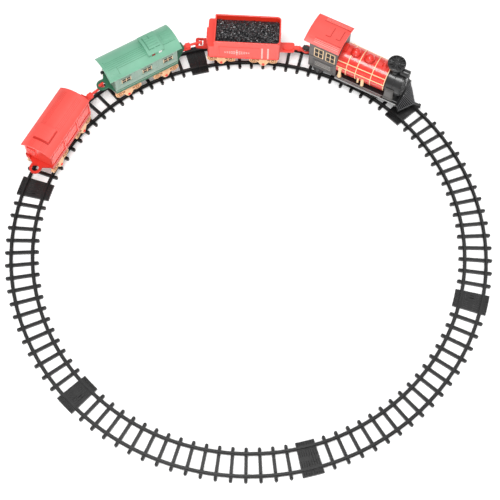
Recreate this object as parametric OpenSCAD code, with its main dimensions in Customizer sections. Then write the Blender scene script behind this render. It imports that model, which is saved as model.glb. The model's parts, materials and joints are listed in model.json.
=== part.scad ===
/* [Track] */
// Radius of the ring's centre line
track_r = 326; // [322:1:330]
// Distance between the centres of the two rails
rail_gauge = 30.6; // [30.2:0.1:31]
// Height of the rail tops above the floor
rail_top = 8; // [7.8:0.1:8]
// Length of a sleeper, across the track
sleeper_len = 48.5; // [44:0.5:52]
// Width of a sleeper, along the track
sleeper_w = 4.5; // [3.5:0.1:5]
// Angle of the first joint between two track sections
joint_angle = 45.6; // [44:0.1:47]

/* [Wheels] */
// Tread radius of the wagon wheels and of the leading wheels
wheel_r = 6; // [5.8:0.1:6.1]
// Tread radius of the driving wheels
driver_r = 8; // [7.9:0.1:8.1]
// Distance between the two axles of a wagon
axle_base = 64.5; // [63:0.5:66]

/* [Locomotive] */
// Half width of the running board
board_half_w = 25.8; // [25:0.1:27]
// Height of the boiler's centre line
boiler_z = 50.5; // [50:0.1:51]
// Radius of the boiler at the cab
boiler_rear_r = 23; // [22:0.1:23.2]
// Radius of the boiler at the smokebox
boiler_front_r = 21.6; // [21:0.1:22]
// Height of the cab roof's eaves
cab_eave_z = 90; // [86:0.5:94]
// Radius of the smokestack's rim
stack_r = 13.75; // [12:0.25:14.5]

/* [Wagons] */
// Half width of the coal wagon's body
coal_half_w = 25.6; // [24.5:0.1:26]
// Height of the coal wagon's rim
coal_rim_z = 72.5; // [68:0.5:74]
// Half width of the caboose and baggage wagon bodies
box_half_w = 22.5; // [22:0.1:23]
// Half width of their roofs
roof_half_w = 24.6; // [24:0.1:25.5]
// Height of their eaves
eave_z = 69.5; // [67:0.5:72]
// Rise of their roofs from the eaves to the ridge
roof_rise = 8; // [6:0.5:9]

/* [Hidden] */
$fn = 48;

// Colours
black_plastic = [0.07, 0.07, 0.08];
cab_grey = [0.36, 0.35, 0.35];
coral = [0.93, 0.29, 0.25];
boiler_red = [0.85, 0.17, 0.13];
dark_red = [0.6, 0.08, 0.07];
gold = [0.93, 0.74, 0.52];
roof_green = [0.47, 0.72, 0.6];
side_green = [0.55, 0.66, 0.61];
dark_green = [0.13, 0.36, 0.24];
steel = [0.7, 0.7, 0.72];

// Each vehicle stands on the ring at [angle, half its wheelbase, yaw, outward shift]. The
// last two use the play between flanges and rails. A vehicle's own x points forward,
// clockwise round the ring, its y points outward, and z is up.
loco_at = [63.08, 51, 0.2, 2.3];
coal_at = [93.0, axle_base / 2, -4.6, 0.3];
green_at = [121.7, axle_base / 2, 0.9, 2.5];
red_at = [151.2, axle_base / 2, 2.4, 0];

// Track
section_angle = 60;
section_gap = 0.012;
sleeper_count = 16;
first_sleeper = 4.93;
sleeper_pitch = 3.342;
sleeper_h = 4;
plate_angle = 2.45;
plate_h = 4;
rail_foot_w = 5;
rail_head_w = 2.4;
tongue_w = 16;
tongue_h = 2;
tongue_angle = 1.93;
window_from = 0.75;
window_to = 1.55;

// Wheels
wheel_lift = 0.3;
flange_h = 1;
flange_in = 9.2;
tread_in = 10.3;
tread_out = 17.8;
hub_r = 2;
hub_out = 23;
hub_bore_r = 2.08;
wheel_z = rail_top + wheel_lift + wheel_r;
driver_z = rail_top + wheel_lift + driver_r;

// Locomotive chassis and running gear
board_z0 = 26;
board_z1 = 28.5;
board_rear = -60;
board_front = 89;
side_in = 6.9;
side_out = 8.7;
side_z0 = 10.4;
axle_r = 1.5;
axle_bore_r = 1.56;
drive_x = -45;
middle_x = 0;
leading_x = 52;
pilot_x0 = 62;

// Gear train, all spur gears of one module
gear_module = 0.7;
axle_teeth = 22;
idler_small_teeth = 10;
idler_big_teeth = 24;
pinion_teeth = 10;
idler_dx = 6;
idler_reach = gear_module * (axle_teeth + idler_small_teeth) / 2;
idler_dz = sqrt(idler_reach ^ 2 - idler_dx ^ 2);
idler_x = drive_x + idler_dx;
idler_z = driver_z + idler_dz;
motor_x = idler_x;
motor_z = idler_z + gear_module * (idler_big_teeth + pinion_teeth) / 2;
motor_r = 10;
motor_half_h = 7.5;

// Boiler, smokebox and cab
boiler_x0 = -14;
boiler_x1 = 63.8;
boiler_wall = 1.6;
band_t = 1.1;
smokebox_r = 20.5;
smokebox_x1 = 88.5;
dome_xs = [6.3, 28.6];
dome_r = 7.2;
dome_top = 82;
band_xs = [1.2, 16.7, 41, 62.6];
band_w = 1.1;
stack_x = 71;
stack_top = 93;
cab_x0 = -60;
cab_x1 = -14;
cab_half_w = 22.5;
cab_wall = 2;
cab_roof_x0 = -68.6;
cab_roof_x1 = -11.4;
cab_roof_half_w = 27.2;
cab_roof_rise = 5.5;
roof_t = 1.6;
window_z0 = 55.5;
window_z1 = 77;
window_xs = [[-52, -36.5], [-32.8, -17.3]];
headlight_x = 93;
headlight_z = 77.5;

// Battery cells
cell_r = 5.25;
cell_len = 44.5;
cell_x0 = 3.9;
cell_y = 5.5;
cell_z = 37.3;

// Wagons
body_bottom = 33.6;
floor_z0 = 31.5;
bogie_top = 31.4;
bogie_in = 18.6;
bogie_out = 21.7;
body_half_len = 53;
coal_x0 = -53;
coal_x1 = 57;
coal_deck_x = -43;
coal_deck_z = 61;
coal_wall = 2;
coal_level = 62;
pivot_r = 2.5;
pivot_bore_r = 2.56;
loop_t = 3;
coal_loop_x = -64.4;
coal_loop_z = 29.5;
box_floor_z1 = 36.6;
box_loop_x = -64;
box_loop_z = box_floor_z1 - loop_t;
loco_pin_x = -74;
screw_r = 1.2;
screw_head_r = 2.6;

// A point of one vehicle in the ring's frame, and back again in another vehicle's frame
function turned(p, a) = [cos(a) * p.x - sin(a) * p.y, sin(a) * p.x + cos(a) * p.y];
function centre_y(at) = sqrt(track_r ^ 2 - at[1] ^ 2) + at[3];
function to_ring(p, at) = turned(turned(p, at[2]) + [0, centre_y(at)], at[0] - 90);
function to_vehicle(w, at) = turned(turned(w, 90 - at[0]) - [0, centre_y(at)], -at[2]);
function boiler_r(x) =
    boiler_rear_r + (boiler_front_r - boiler_rear_r) * (x - boiler_x0) / (boiler_x1 - boiler_x0);
function arch_r(half_w, rise) = (half_w ^ 2 + rise ^ 2) / (2 * rise);

coal_hitch = to_vehicle(to_ring([loco_pin_x, 0], loco_at), coal_at);
green_hitch = to_vehicle(to_ring([coal_loop_x, 0], coal_at), green_at);
red_hitch = to_vehicle(to_ring([box_loop_x, 0], green_at), red_at);

module on_track(at) {
    rotate([0, 0, at[0] - 90])
        translate([0, centre_y(at), 0])
            rotate([0, 0, at[2]])
                children();
}

module bar(x0, x1, y0, y1, z0, z1) {
    translate([x0, y0, z0])
        cube([x1 - x0, y1 - y0, z1 - z0]);
}

module both_sides() {
    children();
    mirror([0, 1, 0])
        children();
}

// A profile in x and z, extruded across the vehicle from y0 to y1
module across(y0, y1) {
    translate([0, y1, 0])
        rotate([90, 0, 0])
            linear_extrude(y1 - y0)
                children();
}

// A profile in y and z, extruded along the vehicle from x0 to x1
module along(x0, x1) {
    translate([x0, 0, 0])
        rotate([90, 0, 90])
            linear_extrude(x1 - x0)
                children();
}

module flat(z0, z1) {
    translate([0, 0, z0])
        linear_extrude(z1 - z0)
            children();
}

module rod_across(x, z, r, y0, y1) {
    across(y0, y1)
        translate([x, z])
            circle(r);
}

module rod_along(y, z, r, x0, x1) {
    along(x0, x1)
        translate([y, z])
            circle(r);
}

module post(x, y, r, z0, z1) {
    translate([x, y, z0])
        cylinder(r = r, h = z1 - z0);
}

module rod_between(p, q, r) {
    d = q - p;
    translate(p)
        rotate([0, acos(d.z / norm(d)), atan2(d.y, d.x)])
            cylinder(r = r, h = norm(d));
}

module box_2d(x0, x1, y0, y1) {
    translate([x0, y0])
        square([x1 - x0, y1 - y0]);
}

module round_box_2d(x0, x1, y0, y1, r) {
    box_2d(x0 + r, x1 - r, y0, y1);
    box_2d(x0, x1, y0 + r, y1 - r);
    for (x = [x0 + r, x1 - r], y = [y0 + r, y1 - r])
        translate([x, y])
            circle(r);
}

// The space under an arch with the given half width, eaves height and rise
module arch_2d(half_w, eaves, rise, inset, bottom) {
    r = arch_r(half_w, rise);
    intersection() {
        translate([0, eaves + rise - r])
            circle(r - inset, $fn = 96);
        box_2d(-half_w, half_w, bottom, eaves + rise);
    }
}

// Track

module ring_piece(r0, r1, z0, z1, a0, a1) {
    rotate([0, 0, a0])
        rotate_extrude(angle = a1 - a0, $fn = 180)
            box_2d(r0, r1, z0, z1);
}

module rail(r) {
    rotate([0, 0, section_gap])
        rotate_extrude(angle = section_angle - 2 * section_gap, $fn = 180) {
            box_2d(r - rail_foot_w / 2, r + rail_foot_w / 2, 3, 5);
            box_2d(r - 0.8, r + 0.8, 4.5, rail_top - 1);
            box_2d(r - rail_head_w / 2, r + rail_head_w / 2, rail_top - 1.6, rail_top);
        }
}

module sleeper(a) {
    half = sleeper_len / 2 - sleeper_w / 2;
    rotate([0, 0, a])
        flat(0, sleeper_h) {
            box_2d(track_r - half, track_r + half, -sleeper_w / 2, sleeper_w / 2);
            for (r = [track_r - half, track_r + half])
                translate([r, 0])
                    circle(sleeper_w / 2);
        }
}

// The plate that ends a section, with ribs pressed into its top
module joint_plate(a0, a1) {
    inner = track_r - rail_gauge / 2;
    outer = track_r + rail_gauge / 2;
    end = sleeper_len / 2;
    rib = (a1 - a0) / 5;
    difference() {
        union() {
            ring_piece(inner, outer, 0, plate_h, a0, a1);
            ring_piece(track_r - end, inner, 0, plate_h - 0.4, a0, a1);
            ring_piece(outer, track_r + end, 0, plate_h - 0.4, a0, a1);
        }
        for (side = [-1, 1])
            ring_piece(track_r + side * 21 - 0.6, track_r + side * 21 + 0.6, plate_h - 1,
                       plate_h + 1, a0 + rib / 2, a1 - rib / 2);
    }
}

module track_section(index) {
    a_end = section_angle - section_gap;
    color(black_plastic)
        rotate([0, 0, joint_angle + section_angle * index]) {
            for (side = [-1, 1])
                rail(track_r + side * rail_gauge / 2);
            for (i = [0 : sleeper_count - 1])
                sleeper(first_sleeper + i * sleeper_pitch);
            latch_plate();
            joint_plate(a_end - plate_angle, a_end);
            tongue(a_end);
        }
}

// The next section's tongue slides under this plate and snaps up into its window
module latch_plate() {
    half = tongue_w / 2;
    difference() {
        joint_plate(section_gap, plate_angle);
        ring_piece(track_r - half - 0.3, track_r + half + 0.3, -1, tongue_h + 0.3,
                   -0.1, tongue_angle + 0.1);
        ring_piece(track_r - half + 1.7, track_r + half - 1.7, 0, plate_h + 1,
                   window_from, window_to);
    }
}

module tongue(a_end) {
    half = tongue_w / 2;
    ring_piece(track_r - half, track_r + half, 0.2, tongue_h, a_end - 0.3,
               section_angle + tongue_angle);
    ring_piece(track_r - half + 2, track_r + half - 2, 0.2, plate_h + 0.4,
               section_angle + window_from + 0.15, section_angle + window_to - 0.15);
}

// Gears

function gear_points(teeth) = [
    for (i = [0 : teeth - 1], corner = [[-0.31, -1.1], [-0.11, 0.7], [0.11, 0.7], [0.31, -1.1]])
        let (a = (i + corner[0]) * 360 / teeth, r = gear_module * (teeth / 2 + corner[1]))
            [r * cos(a), r * sin(a)]
];

// A gear about (x, z), with one tooth pointing at the given angle
module gear(x, z, teeth, tooth_at, y0, y1) {
    across(y0, y1)
        translate([x, z])
            rotate(tooth_at)
                polygon(gear_points(teeth));
}

// Wheelsets

module flanged_wheel(x, z, r) {
    rod_across(x, z, r + flange_h, flange_in, tread_in);
    rod_across(x, z, r, flange_in, tread_out);
}

module wagon_wheelset(x) {
    color(dark_red) {
        rod_across(x, wheel_z, 1.2, -flange_in - 1, flange_in + 1);
        both_sides() {
            flanged_wheel(x, wheel_z, wheel_r);
            rod_across(x, wheel_z, hub_r, tread_out - 1, hub_out);
        }
    }
}

// Locomotive

module loco_chassis() {
    color(black_plastic)
        difference() {
            union() {
                bar(cab_x1, board_front, -board_half_w, board_half_w, board_z0, board_z1);
                bar(board_rear, cab_x1, -cab_half_w, cab_half_w, board_z0, board_z1);
                both_sides()
                    bar(board_rear, board_front - 3, side_in, side_out, side_z0, board_z0 + 1);
                bar(board_rear, board_rear + 3, -side_out, side_out, side_z0, board_z1);
                bar(pilot_x0, board_front - 3, -side_out, side_out, side_z0 + 4, board_z1);
                bar(board_front - 3, board_front, -board_half_w, board_half_w, 22, board_z1);
                loco_pocket_walls();
            }
            gear_well();
            battery_well();
            loco_axle_bores();
            for (p = loco_screw_points)
                post(p.x, p.y, screw_r + 0.2, board_z0 - 1, board_z1 + 1);
        }
}

rear_screw = [-56, 16];
front_screw = [82, 14];
loco_screw_points = [for (p = [rear_screw, front_screw], s = [-1, 1]) [p.x, s * p.y]];

// Cross walls that close the battery well at its two ends
module loco_pocket_walls() {
    for (x = [1.9, 48.9])
        bar(x, x + 1.2, -side_in, side_in, 19.5, board_z0 + 1);
}

module gear_well() {
    bar(-55, -27, -side_in, side_in, side_z0 - 1, board_z1 + 1);
}

module battery_well() {
    bar(3.1, 48.9, -side_in, side_in, board_z0 - 1, board_z1 + 1);
}

module loco_axle_bores() {
    rod_across(drive_x, driver_z, axle_bore_r, -12, 12);
    rod_across(middle_x, driver_z, axle_bore_r, -12, 12);
    rod_across(leading_x, wheel_z, axle_bore_r, -12, 12);
    rod_across(idler_x, idler_z, axle_bore_r, -12, 12);
}

// The slatted wedge in front of the locomotive
module cowcatcher() {
    top = [board_front + 1.6, board_half_w - 1.2, 25];
    corner = [93.5, 24.2, 11];
    nose = [110.4, 0, 11];
    slats = 9;
    color(black_plastic) {
        bar(board_front, board_front + 3, -board_half_w, board_half_w, 23.5, 26.5);
        both_sides() {
            for (i = [0 : slats - 1]) {
                t = (i + 0.5) / slats;
                rod_between([top.x, t * top.y, top.z], nose + t * (corner - nose), 0.9, $fn = 4);
            }
            rod_between(nose, corner + [0, 0.8, 0], 1.5, $fn = 8);
            rod_between([top.x, top.y, top.z], corner, 1.2, $fn = 4);
        }
        rod_between([top.x, 0, top.z], nose, 1.1, $fn = 4);
        bar(108, 121, -2.3, 2.3, 9.8, 12.6);
        post(118.7, 0, 2.3, 9.8, 14.5);
    }
}

module boiler_shape(extra) {
    translate([boiler_x0, 0, boiler_z])
        rotate([0, 90, 0])
            cylinder(r1 = boiler_rear_r + extra, r2 = boiler_front_r + extra,
                     h = boiler_x1 - boiler_x0, $fn = 96);
}

// A dome with a spread foot, a straight neck and a round cap, on the boiler at x
module dome(x, r, top) {
    translate([x, 0, 0])
        rotate_extrude() {
            box_2d(0, r, boiler_z + 19, top - r * 0.75);
            box_2d(0, r + 1, boiler_z + 19, boiler_z + 22.6);
            intersection() {
                translate([0, top - r * 1.08])
                    circle(r * 1.08);
                box_2d(0, r, top - r * 0.8, top);
            }
        }
}

// The boiler is open below, where it stands on the board and over the battery cells
module boiler() {
    color(boiler_red) {
        difference() {
            boiler_shape(0);
            boiler_shape(-boiler_wall);
            bar(boiler_x0 - 1, boiler_x1 + 1, -30, 30, 0, board_z1 + 0.1);
            bar(cell_x0 - 1, cell_x0 + cell_len + 1, -11.2, 11.2, 0, cell_z);
        }
        intersection() {
            union() {
                for (x = dome_xs)
                    dome(x, dome_r, dome_top);
                bell_base();
                bar(-13.9, -7.5, -6, 6, 68, 79);
            }
            bar(boiler_x0, boiler_x1, -30, 30, boiler_z + 21.2, 100);
        }
    }
}

module bell_base() {
    translate([54, 0, boiler_z + 19])
        cylinder(r1 = 5.6, r2 = 2.4, h = 7);
}

// Bands and handrails. The first band stops at the foot of the dome beside it.
module boiler_bands() {
    color(gold) {
        difference() {
            for (x = band_xs)
                boiler_band(x);
            post(dome_xs[0], 0, dome_r + 1.1, boiler_z, dome_top);
        }
        both_sides() {
            handrail(14.5);
            handrail(5.5);
        }
    }
}

module boiler_band(x) {
    difference() {
        along(x, x + band_w)
            translate([0, boiler_z])
                difference() {
                    circle(boiler_r(x) + band_t, $fn = 96);
                    circle(boiler_r(x), $fn = 96);
                }
        bar(-20, 80, -30, 30, 0, board_z1 + 3);
    }
}

// A rod that follows the boiler's taper inside the thickness of the bands
module handrail(above) {
    rear = boiler_rear_r + band_t / 2;
    front = boiler_front_r + band_t / 2;
    rod_between([boiler_x0, sqrt(rear ^ 2 - above ^ 2), boiler_z + above],
                [boiler_x1, sqrt(front ^ 2 - above ^ 2), boiler_z + above], 0.42, $fn = 16);
}

module smokebox() {
    color(black_plastic) {
        difference() {
            union() {
                difference() {
                    rod_along(0, boiler_z, smokebox_r, boiler_x1, smokebox_x1, $fn = 96);
                    rod_along(0, boiler_z, smokebox_r - 2, boiler_x1 - 1, smokebox_x1 - 2,
                              $fn = 96);
                }
                both_sides()
                    post(front_screw.x, front_screw.y, 3.2, board_z1 + 0.1, 40);
            }
            both_sides()
                post(front_screw.x, front_screw.y, screw_r, board_z1, 38);
            post(stack_x, 0, 4, boiler_z, 100);
        }
        rod_along(0, boiler_z, smokebox_r - 4, smokebox_x1 - 0.5, smokebox_x1 + 1.2, $fn = 96);
        rod_along(0, boiler_z, 3, smokebox_x1, smokebox_x1 + 2.6);
    }
}

// A flared stack with a recessed grille of radial fins, its foot cut to the smokebox
module smokestack() {
    color(black_plastic)
        difference() {
            stack_shape();
            rod_along(0, boiler_z, smokebox_r, boiler_x1 - 2, smokebox_x1 + 12, $fn = 96);
            bar(40, 100, -20, 20, 0, boiler_z + smokebox_r - 1);
        }
}

module stack_shape() {
    base = boiler_z + smokebox_r + 0.15;
    difference() {
        translate([stack_x, 0, 0])
            rotate_extrude()
                polygon([[0, base], [6.5, base], [5.6, base + 3], [6.4, base + 6],
                         [stack_r - 0.8, stack_top - 5], [stack_r, stack_top - 3],
                         [stack_r, stack_top - 1], [stack_r - 0.8, stack_top],
                         [0, stack_top]]);
        post(stack_x, 0, stack_r - 1.8, stack_top - 2.2, stack_top + 1);
    }
    translate([stack_x, 0, 0]) {
        for (i = [0 : 11])
            rotate([0, 0, i * 30])
                bar(2, stack_r - 1.4, -0.45, 0.45, stack_top - 2.6, stack_top - 0.4);
        cylinder(r = 2.8, h = stack_top - 0.3);
    }
}

module cab() {
    color(cab_grey)
        difference() {
            union() {
                difference() {
                    along(cab_x0, cab_x1)
                        cab_section_2d(0);
                    along(cab_x0 + cab_wall, cab_x1 - cab_wall)
                        cab_section_2d(cab_wall);
                    bar(cab_x0 + cab_wall, cab_x1 - cab_wall, -20.5, 20.5, 20, 40);
                }
                both_sides()
                    post(rear_screw.x, rear_screw.y, 3.4, board_z1 + 0.1, 40);
            }
            both_sides() {
                for (w = window_xs)
                    bar(w[0], w[1], cab_half_w - cab_wall - 1, cab_half_w + 1,
                        window_z0, window_z1);
                post(rear_screw.x, rear_screw.y, screw_r, board_z1, 38);
            }
            for (y = [-14.5, 5.5])
                bar(cab_x0 - 1, cab_x0 + cab_wall + 0.5, y, y + 9, window_z0, window_z1);
            bar(cab_x0 - 1, cab_x0 + cab_wall + 0.5, 13.3, 19.7, 45.2, 48.8);
        }
}

module cab_section_2d(inset) {
    intersection() {
        box_2d(-cab_half_w + inset, cab_half_w - inset, board_z1 + 0.1, cab_eave_z + 10);
        arch_2d(cab_roof_half_w, cab_eave_z, cab_roof_rise, roof_t + inset, 0);
    }
}

module roof_shell(x0, x1, half_w, eaves, rise) {
    along(x0, x1)
        difference() {
            arch_2d(half_w, eaves, rise, 0, eaves - 1.2);
            arch_2d(half_w + 5, eaves + rise - arch_rise_at(half_w, rise, half_w + 5),
                    arch_rise_at(half_w, rise, half_w + 5), roof_t, 0);
        }
}

// Rise of the same arch when it is carried on to a wider half width
function arch_rise_at(half_w, rise, wide) =
    arch_r(half_w, rise) - sqrt(arch_r(half_w, rise) ^ 2 - wide ^ 2);

module cab_roof() {
    color(coral) {
        roof_shell(cab_roof_x0, cab_roof_x1, cab_roof_half_w, cab_eave_z, cab_roof_rise);
        intersection() {
            translate([0, 0, 0.5])
                roof_shell(cab_roof_x0 + 6, cab_roof_x1 - 6, cab_roof_half_w, cab_eave_z,
                           cab_roof_rise);
            bar(cab_roof_x0, cab_roof_x1, -19.5, 19.5, 80, 100);
        }
    }
}

// Window frames with crossed bars, pressed into the cab's side openings
module cab_windows() {
    color(gold)
        both_sides()
            for (w = window_xs)
                across(cab_half_w - 0.9, cab_half_w + 0.4)
                    crossed_frame_2d(w[0] + 0.05, w[1] - 0.05, window_z0 + 0.05,
                                     window_z1 - 0.05, 1.7, 1.3);
}

module crossed_frame_2d(x0, x1, z0, z1, rim, cross) {
    difference() {
        box_2d(x0, x1, z0, z1);
        box_2d(x0 + rim, x1 - rim, z0 + rim, z1 - rim);
    }
    box_2d((x0 + x1 - cross) / 2, (x0 + x1 + cross) / 2, z0, z1);
    box_2d(x0, x1, (z0 + z1 - cross) / 2, (z0 + z1 + cross) / 2);
}

module headlight() {
    color(black_plastic) {
        difference() {
            union() {
                rod_along(0, headlight_z, 5.6, headlight_x - 12.5, headlight_x);
                bar(headlight_x - 11.5, headlight_x - 4, -2.5, 2.5, boiler_z + smokebox_r - 2, headlight_z);
            }
            rod_along(0, headlight_z, 4.6, headlight_x - 8, headlight_x + 1);
            rod_along(0, boiler_z, smokebox_r, 70, 90, $fn = 96);
        }
    }
}

module headlight_lens() {
    color([0.9, 0.92, 0.85])
        rod_along(0, headlight_z, 4.55, headlight_x - 2.5, headlight_x - 0.5);
}

// Air pump by the cab and two small ones along the boiler, in two rows of fittings
module pumps() {
    color(gold)
        difference() {
            both_sides() {
                post(-7, 23.6, 2.4, 33, 54.5);
                post(-7, 23.6, 3, 33, 36);
                post(-7, 23.6, 3, 51.5, 54.5);
                bar(-9, -5, 20, 23, 47, 50);
                post(30, 21.6, 2.7, 33, 46.5);
                post(30, 21.6, 1.9, 33, 49);
                post(22.5, 21.3, 1.7, 36, 47);
            }
            boiler_shape(0);
        }
}

module steam_cylinders() {
    color(cab_grey)
        both_sides()
            difference() {
                union() {
                    bar(67, 80.3, 17.6, 23.5, board_z1, 52);
                    bar(66, 81.3, 17.6, 24.2, board_z1, 32.5);
                }
                rod_along(0, boiler_z, smokebox_r, 60, 90, $fn = 96);
            }
}

module motor() {
    color(steel)
        difference() {
            union() {
                intersection() {
                    rod_across(motor_x, motor_z, motor_r, -14, 4.7);
                    bar(motor_x - motor_r, motor_x + motor_r, -15, 6,
                        motor_z - motor_half_h, motor_z + motor_half_h);
                }
                rod_across(motor_x, motor_z, 3, -15.5, -13.5);
                bar(motor_x + 3, motor_x + 5, -18, -13.9, motor_z - 1.2, motor_z + 1.2);
                bar(motor_x - 5, motor_x - 3, -18, -13.9, motor_z - 1.2, motor_z + 1.2);
            }
            rod_across(motor_x, motor_z, 1.06, -12, 6);
        }
}

module motor_pinion() {
    color(gold) {
        gear(motor_x, motor_z, pinion_teeth, -90 + 180 / pinion_teeth, 5.4, 7.2);
        rod_across(motor_x, motor_z, 1, -11.5, 7.6);
    }
}

module idler_gear() {
    small_tooth = atan2(idler_dz, idler_dx) + 180 + 180 / idler_small_teeth;
    color([0.9, 0.9, 0.88]) {
        gear(idler_x, idler_z, idler_small_teeth, small_tooth, 1.5, 4.5);
        gear(idler_x, idler_z, idler_big_teeth, 90, 5.2, 6.5);
        rod_across(idler_x, idler_z, 2.4, 4.4, 5.3);
        rod_across(idler_x, idler_z, axle_r, -side_out, side_out);
    }
}

module drive_axle() {
    color(steel) {
        gear(drive_x, driver_z, axle_teeth, atan2(idler_dz, idler_dx), 1.8, 4.3);
        rod_across(drive_x, driver_z, 3, -1.5, 1.9);
        rod_across(drive_x, driver_z, axle_r, -tread_out, tread_out);
    }
}

module drive_wheels() {
    color(black_plastic)
        both_sides()
            difference() {
                union() {
                    rod_across(drive_x, driver_z, driver_r + flange_h, flange_in, tread_in);
                    rod_across(drive_x, driver_z, driver_r - 0.8, flange_in, tread_out);
                    rod_across(drive_x, driver_z, 3, tread_out - 1, tread_out + 0.8);
                }
                rod_across(drive_x, driver_z, axle_r, 0, tread_out);
            }
}

module traction_tyres() {
    color([0.15, 0.15, 0.15])
        both_sides()
            difference() {
                rod_across(drive_x, driver_z, driver_r, tread_in + 0.2, tread_out - 0.2);
                rod_across(drive_x, driver_z, driver_r - 0.8, 0, 30);
            }
}

module middle_wheelset() {
    color(black_plastic) {
        rod_across(middle_x, driver_z, axle_r, -tread_out, tread_out);
        both_sides() {
            rod_across(middle_x, driver_z, driver_r - 0.3, flange_in, tread_out);
            rod_across(middle_x, driver_z, 3, tread_out - 1, tread_out + 0.8);
        }
    }
}

module leading_wheelset() {
    color(black_plastic) {
        rod_across(leading_x, wheel_z, axle_r, -tread_out, tread_out);
        both_sides() {
            flanged_wheel(leading_x, wheel_z, wheel_r);
            rod_across(leading_x, wheel_z, 2.6, tread_out - 1, tread_out + 0.8);
        }
    }
}

module battery_cells() {
    color([0.25, 0.3, 0.35])
        both_sides() {
            rod_along(cell_y, cell_z, cell_r, cell_x0, cell_x0 + cell_len - 0.8);
            rod_along(cell_y, cell_z, 1.9, cell_x0 + cell_len - 1, cell_x0 + cell_len);
        }
}

module battery_contacts() {
    color(steel) {
        both_sides() {
            bar(cell_x0 - 0.6, cell_x0 - 0.1, 1.5, 9.5, cell_z - 4, cell_z + 4);
            bar(cell_x0 + cell_len + 0.1, cell_x0 + cell_len + 0.5, 1.5, 9.5, cell_z - 4,
                cell_z + 4);
        }
        bar(cell_x0 + cell_len + 0.1, cell_x0 + cell_len + 0.5, -2, 2, cell_z - 1.5,
            cell_z + 1.5);
    }
}

// The door drops between the chassis sides, and its ribs hold the cells up
module battery_door() {
    color(black_plastic) {
        bar(3.4, 48.6, -side_in + 0.15, side_in - 0.15, 17.5, 19);
        both_sides()
            bar(5, 47, 5, 6.5, 18.5, cell_z - cell_r - 0.1);
        bar(10, 12, -5.5, 5.5, 18.5, 30);
        bar(40, 42, -5.5, 5.5, 18.5, 30);
    }
}

// The power switch slides in a slot behind the cab
module switch_knob() {
    color(coral) {
        bar(cab_x0 - 4.4, cab_x0 - 0.3, 12, 17, 44, 50);
        bar(cab_x0 - 1, cab_x0 + 1.6, 13.6, 15.4, 45.5, 48.5);
    }
}

module loco_coupler() {
    color(black_plastic) {
        bar(-64.2, board_rear - 0.1, -9, 9, 24.5, 31);
        bar(-80, -65, -3.5, 3.5, 28.6, 31);
        post(loco_pin_x, 0, 3.5, 28.6, 32.2);
        post(loco_pin_x, 0, 1.6, 23.5, 29);
    }
}

module loco_screws() {
    color(steel)
        for (p = loco_screw_points)
            screw(p, board_z0, 37);
}

module screw(p, under, top) {
    difference() {
        union() {
            post(p.x, p.y, screw_head_r, under - 1.6, under);
            post(p.x, p.y, screw_r, under - 0.5, top);
        }
        translate([p.x, p.y, under - 1.7])
            for (turn = [0, 90])
                rotate([0, 0, turn])
                    bar(-1.6, 1.6, -0.35, 0.35, 0, 0.9);
    }
}

// Parts shared by the wagons

// One cast side frame: a bar, two round ornaments, and an axle box between them
module bogie_side_2d(x) {
    translate([x, 0])
        difference() {
            union() {
                for (s = [-1, 1])
                    translate([s * 14.6, 24.2])
                        circle(7.15);
                box_2d(-14.6, 14.6, 21, bogie_top);
                polygon([[-9.5, 22], [9.5, 22], [3.6, 11.8], [-3.6, 11.8]]);
                translate([0, wheel_z])
                    circle(4.4);
            }
            translate([0, wheel_z])
                circle(hub_bore_r);
            box_2d(-30, 30, bogie_top, 50);
        }
}

module bogies() {
    color(gold)
        for (x = [-axle_base / 2, axle_base / 2]) {
            both_sides()
                across(bogie_in, bogie_out)
                    bogie_side_2d(x);
            difference() {
                bar(x - 5, x + 5, -bogie_in - 1, bogie_in + 1, 26.5, bogie_top);
                post(x, 0, 1.5, 20, 40);
            }
            both_sides()
                across(bogie_out - 0.5, bogie_out + 0.5)
                    translate([x, 0])
                        for (s = [-1, 1])
                            translate([s * 14.6, 24.2])
                                difference() {
                                    circle(5.6);
                                    circle(3.9);
                                }
        }
}

// A coupling bar that pivots under the wagon and reaches to the hitch point
module towards(pivot_x, hitch) {
    translate([pivot_x, 0, 0])
        rotate([0, 0, atan2(hitch.y, hitch.x - pivot_x)])
            children();
}

module pivot_eye(r, z0, z1) {
    difference() {
        post(0, 0, r, z0, z1);
        post(0, 0, pivot_bore_r, z0 - 1, z1 + 1);
    }
}

// The pin that a coupling bar's eye turns on, with a head under the eye
module pivot_pin(x, z0, z1, top) {
    post(x, 0, pivot_r, z0 - 1, top);
    post(x, 0, pivot_r + 1.5, z0 - 1.6, z0 - 0.4);
    post(x, 0, pivot_r + 2, z1 + 0.4, top);
}

module underframe_screw_holes(points) {
    for (p = points)
        post(p.x, p.y, screw_r + 0.2, floor_z0 - 1, 50);
}

// Coal wagon

coal_pivot_x = 50;
coal_eye_z0 = 28.6;
coal_eye_z1 = 31;
coal_screw_points = [[-12, 0], [12, 0]];

module coal_body() {
    z_cavity = 52;
    color(coral) {
        difference() {
            union() {
                flat(body_bottom, coal_rim_z)
                    coal_plan_2d(coal_deck_x, 0, 6.5);
                flat(body_bottom, coal_deck_z)
                    round_box_2d(coal_x0, 0, -coal_half_w, coal_half_w, 4);
            }
            flat(z_cavity, coal_rim_z + 1)
                coal_plan_2d(coal_deck_x, coal_wall, 4.5);
            flat(body_bottom - 1, z_cavity - 2)
                round_box_2d(coal_x0 + 2, coal_x1 - 2, -coal_half_w + 2, coal_half_w - 2, 4);
        }
        for (p = coal_screw_points)
            difference() {
                post(p.x, p.y, 3.5, body_bottom, z_cavity - 1);
                post(p.x, p.y, screw_r, body_bottom - 1, 45);
            }
        coal_ladder();
    }
}

module coal_plan_2d(x0, inset, r) {
    round_box_2d(x0 + inset, coal_x1 - inset, -coal_half_w + inset, coal_half_w - inset, r);
    box_2d(x0 + inset, x0 + inset + 12, -coal_half_w + inset, coal_half_w - inset);
}

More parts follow.
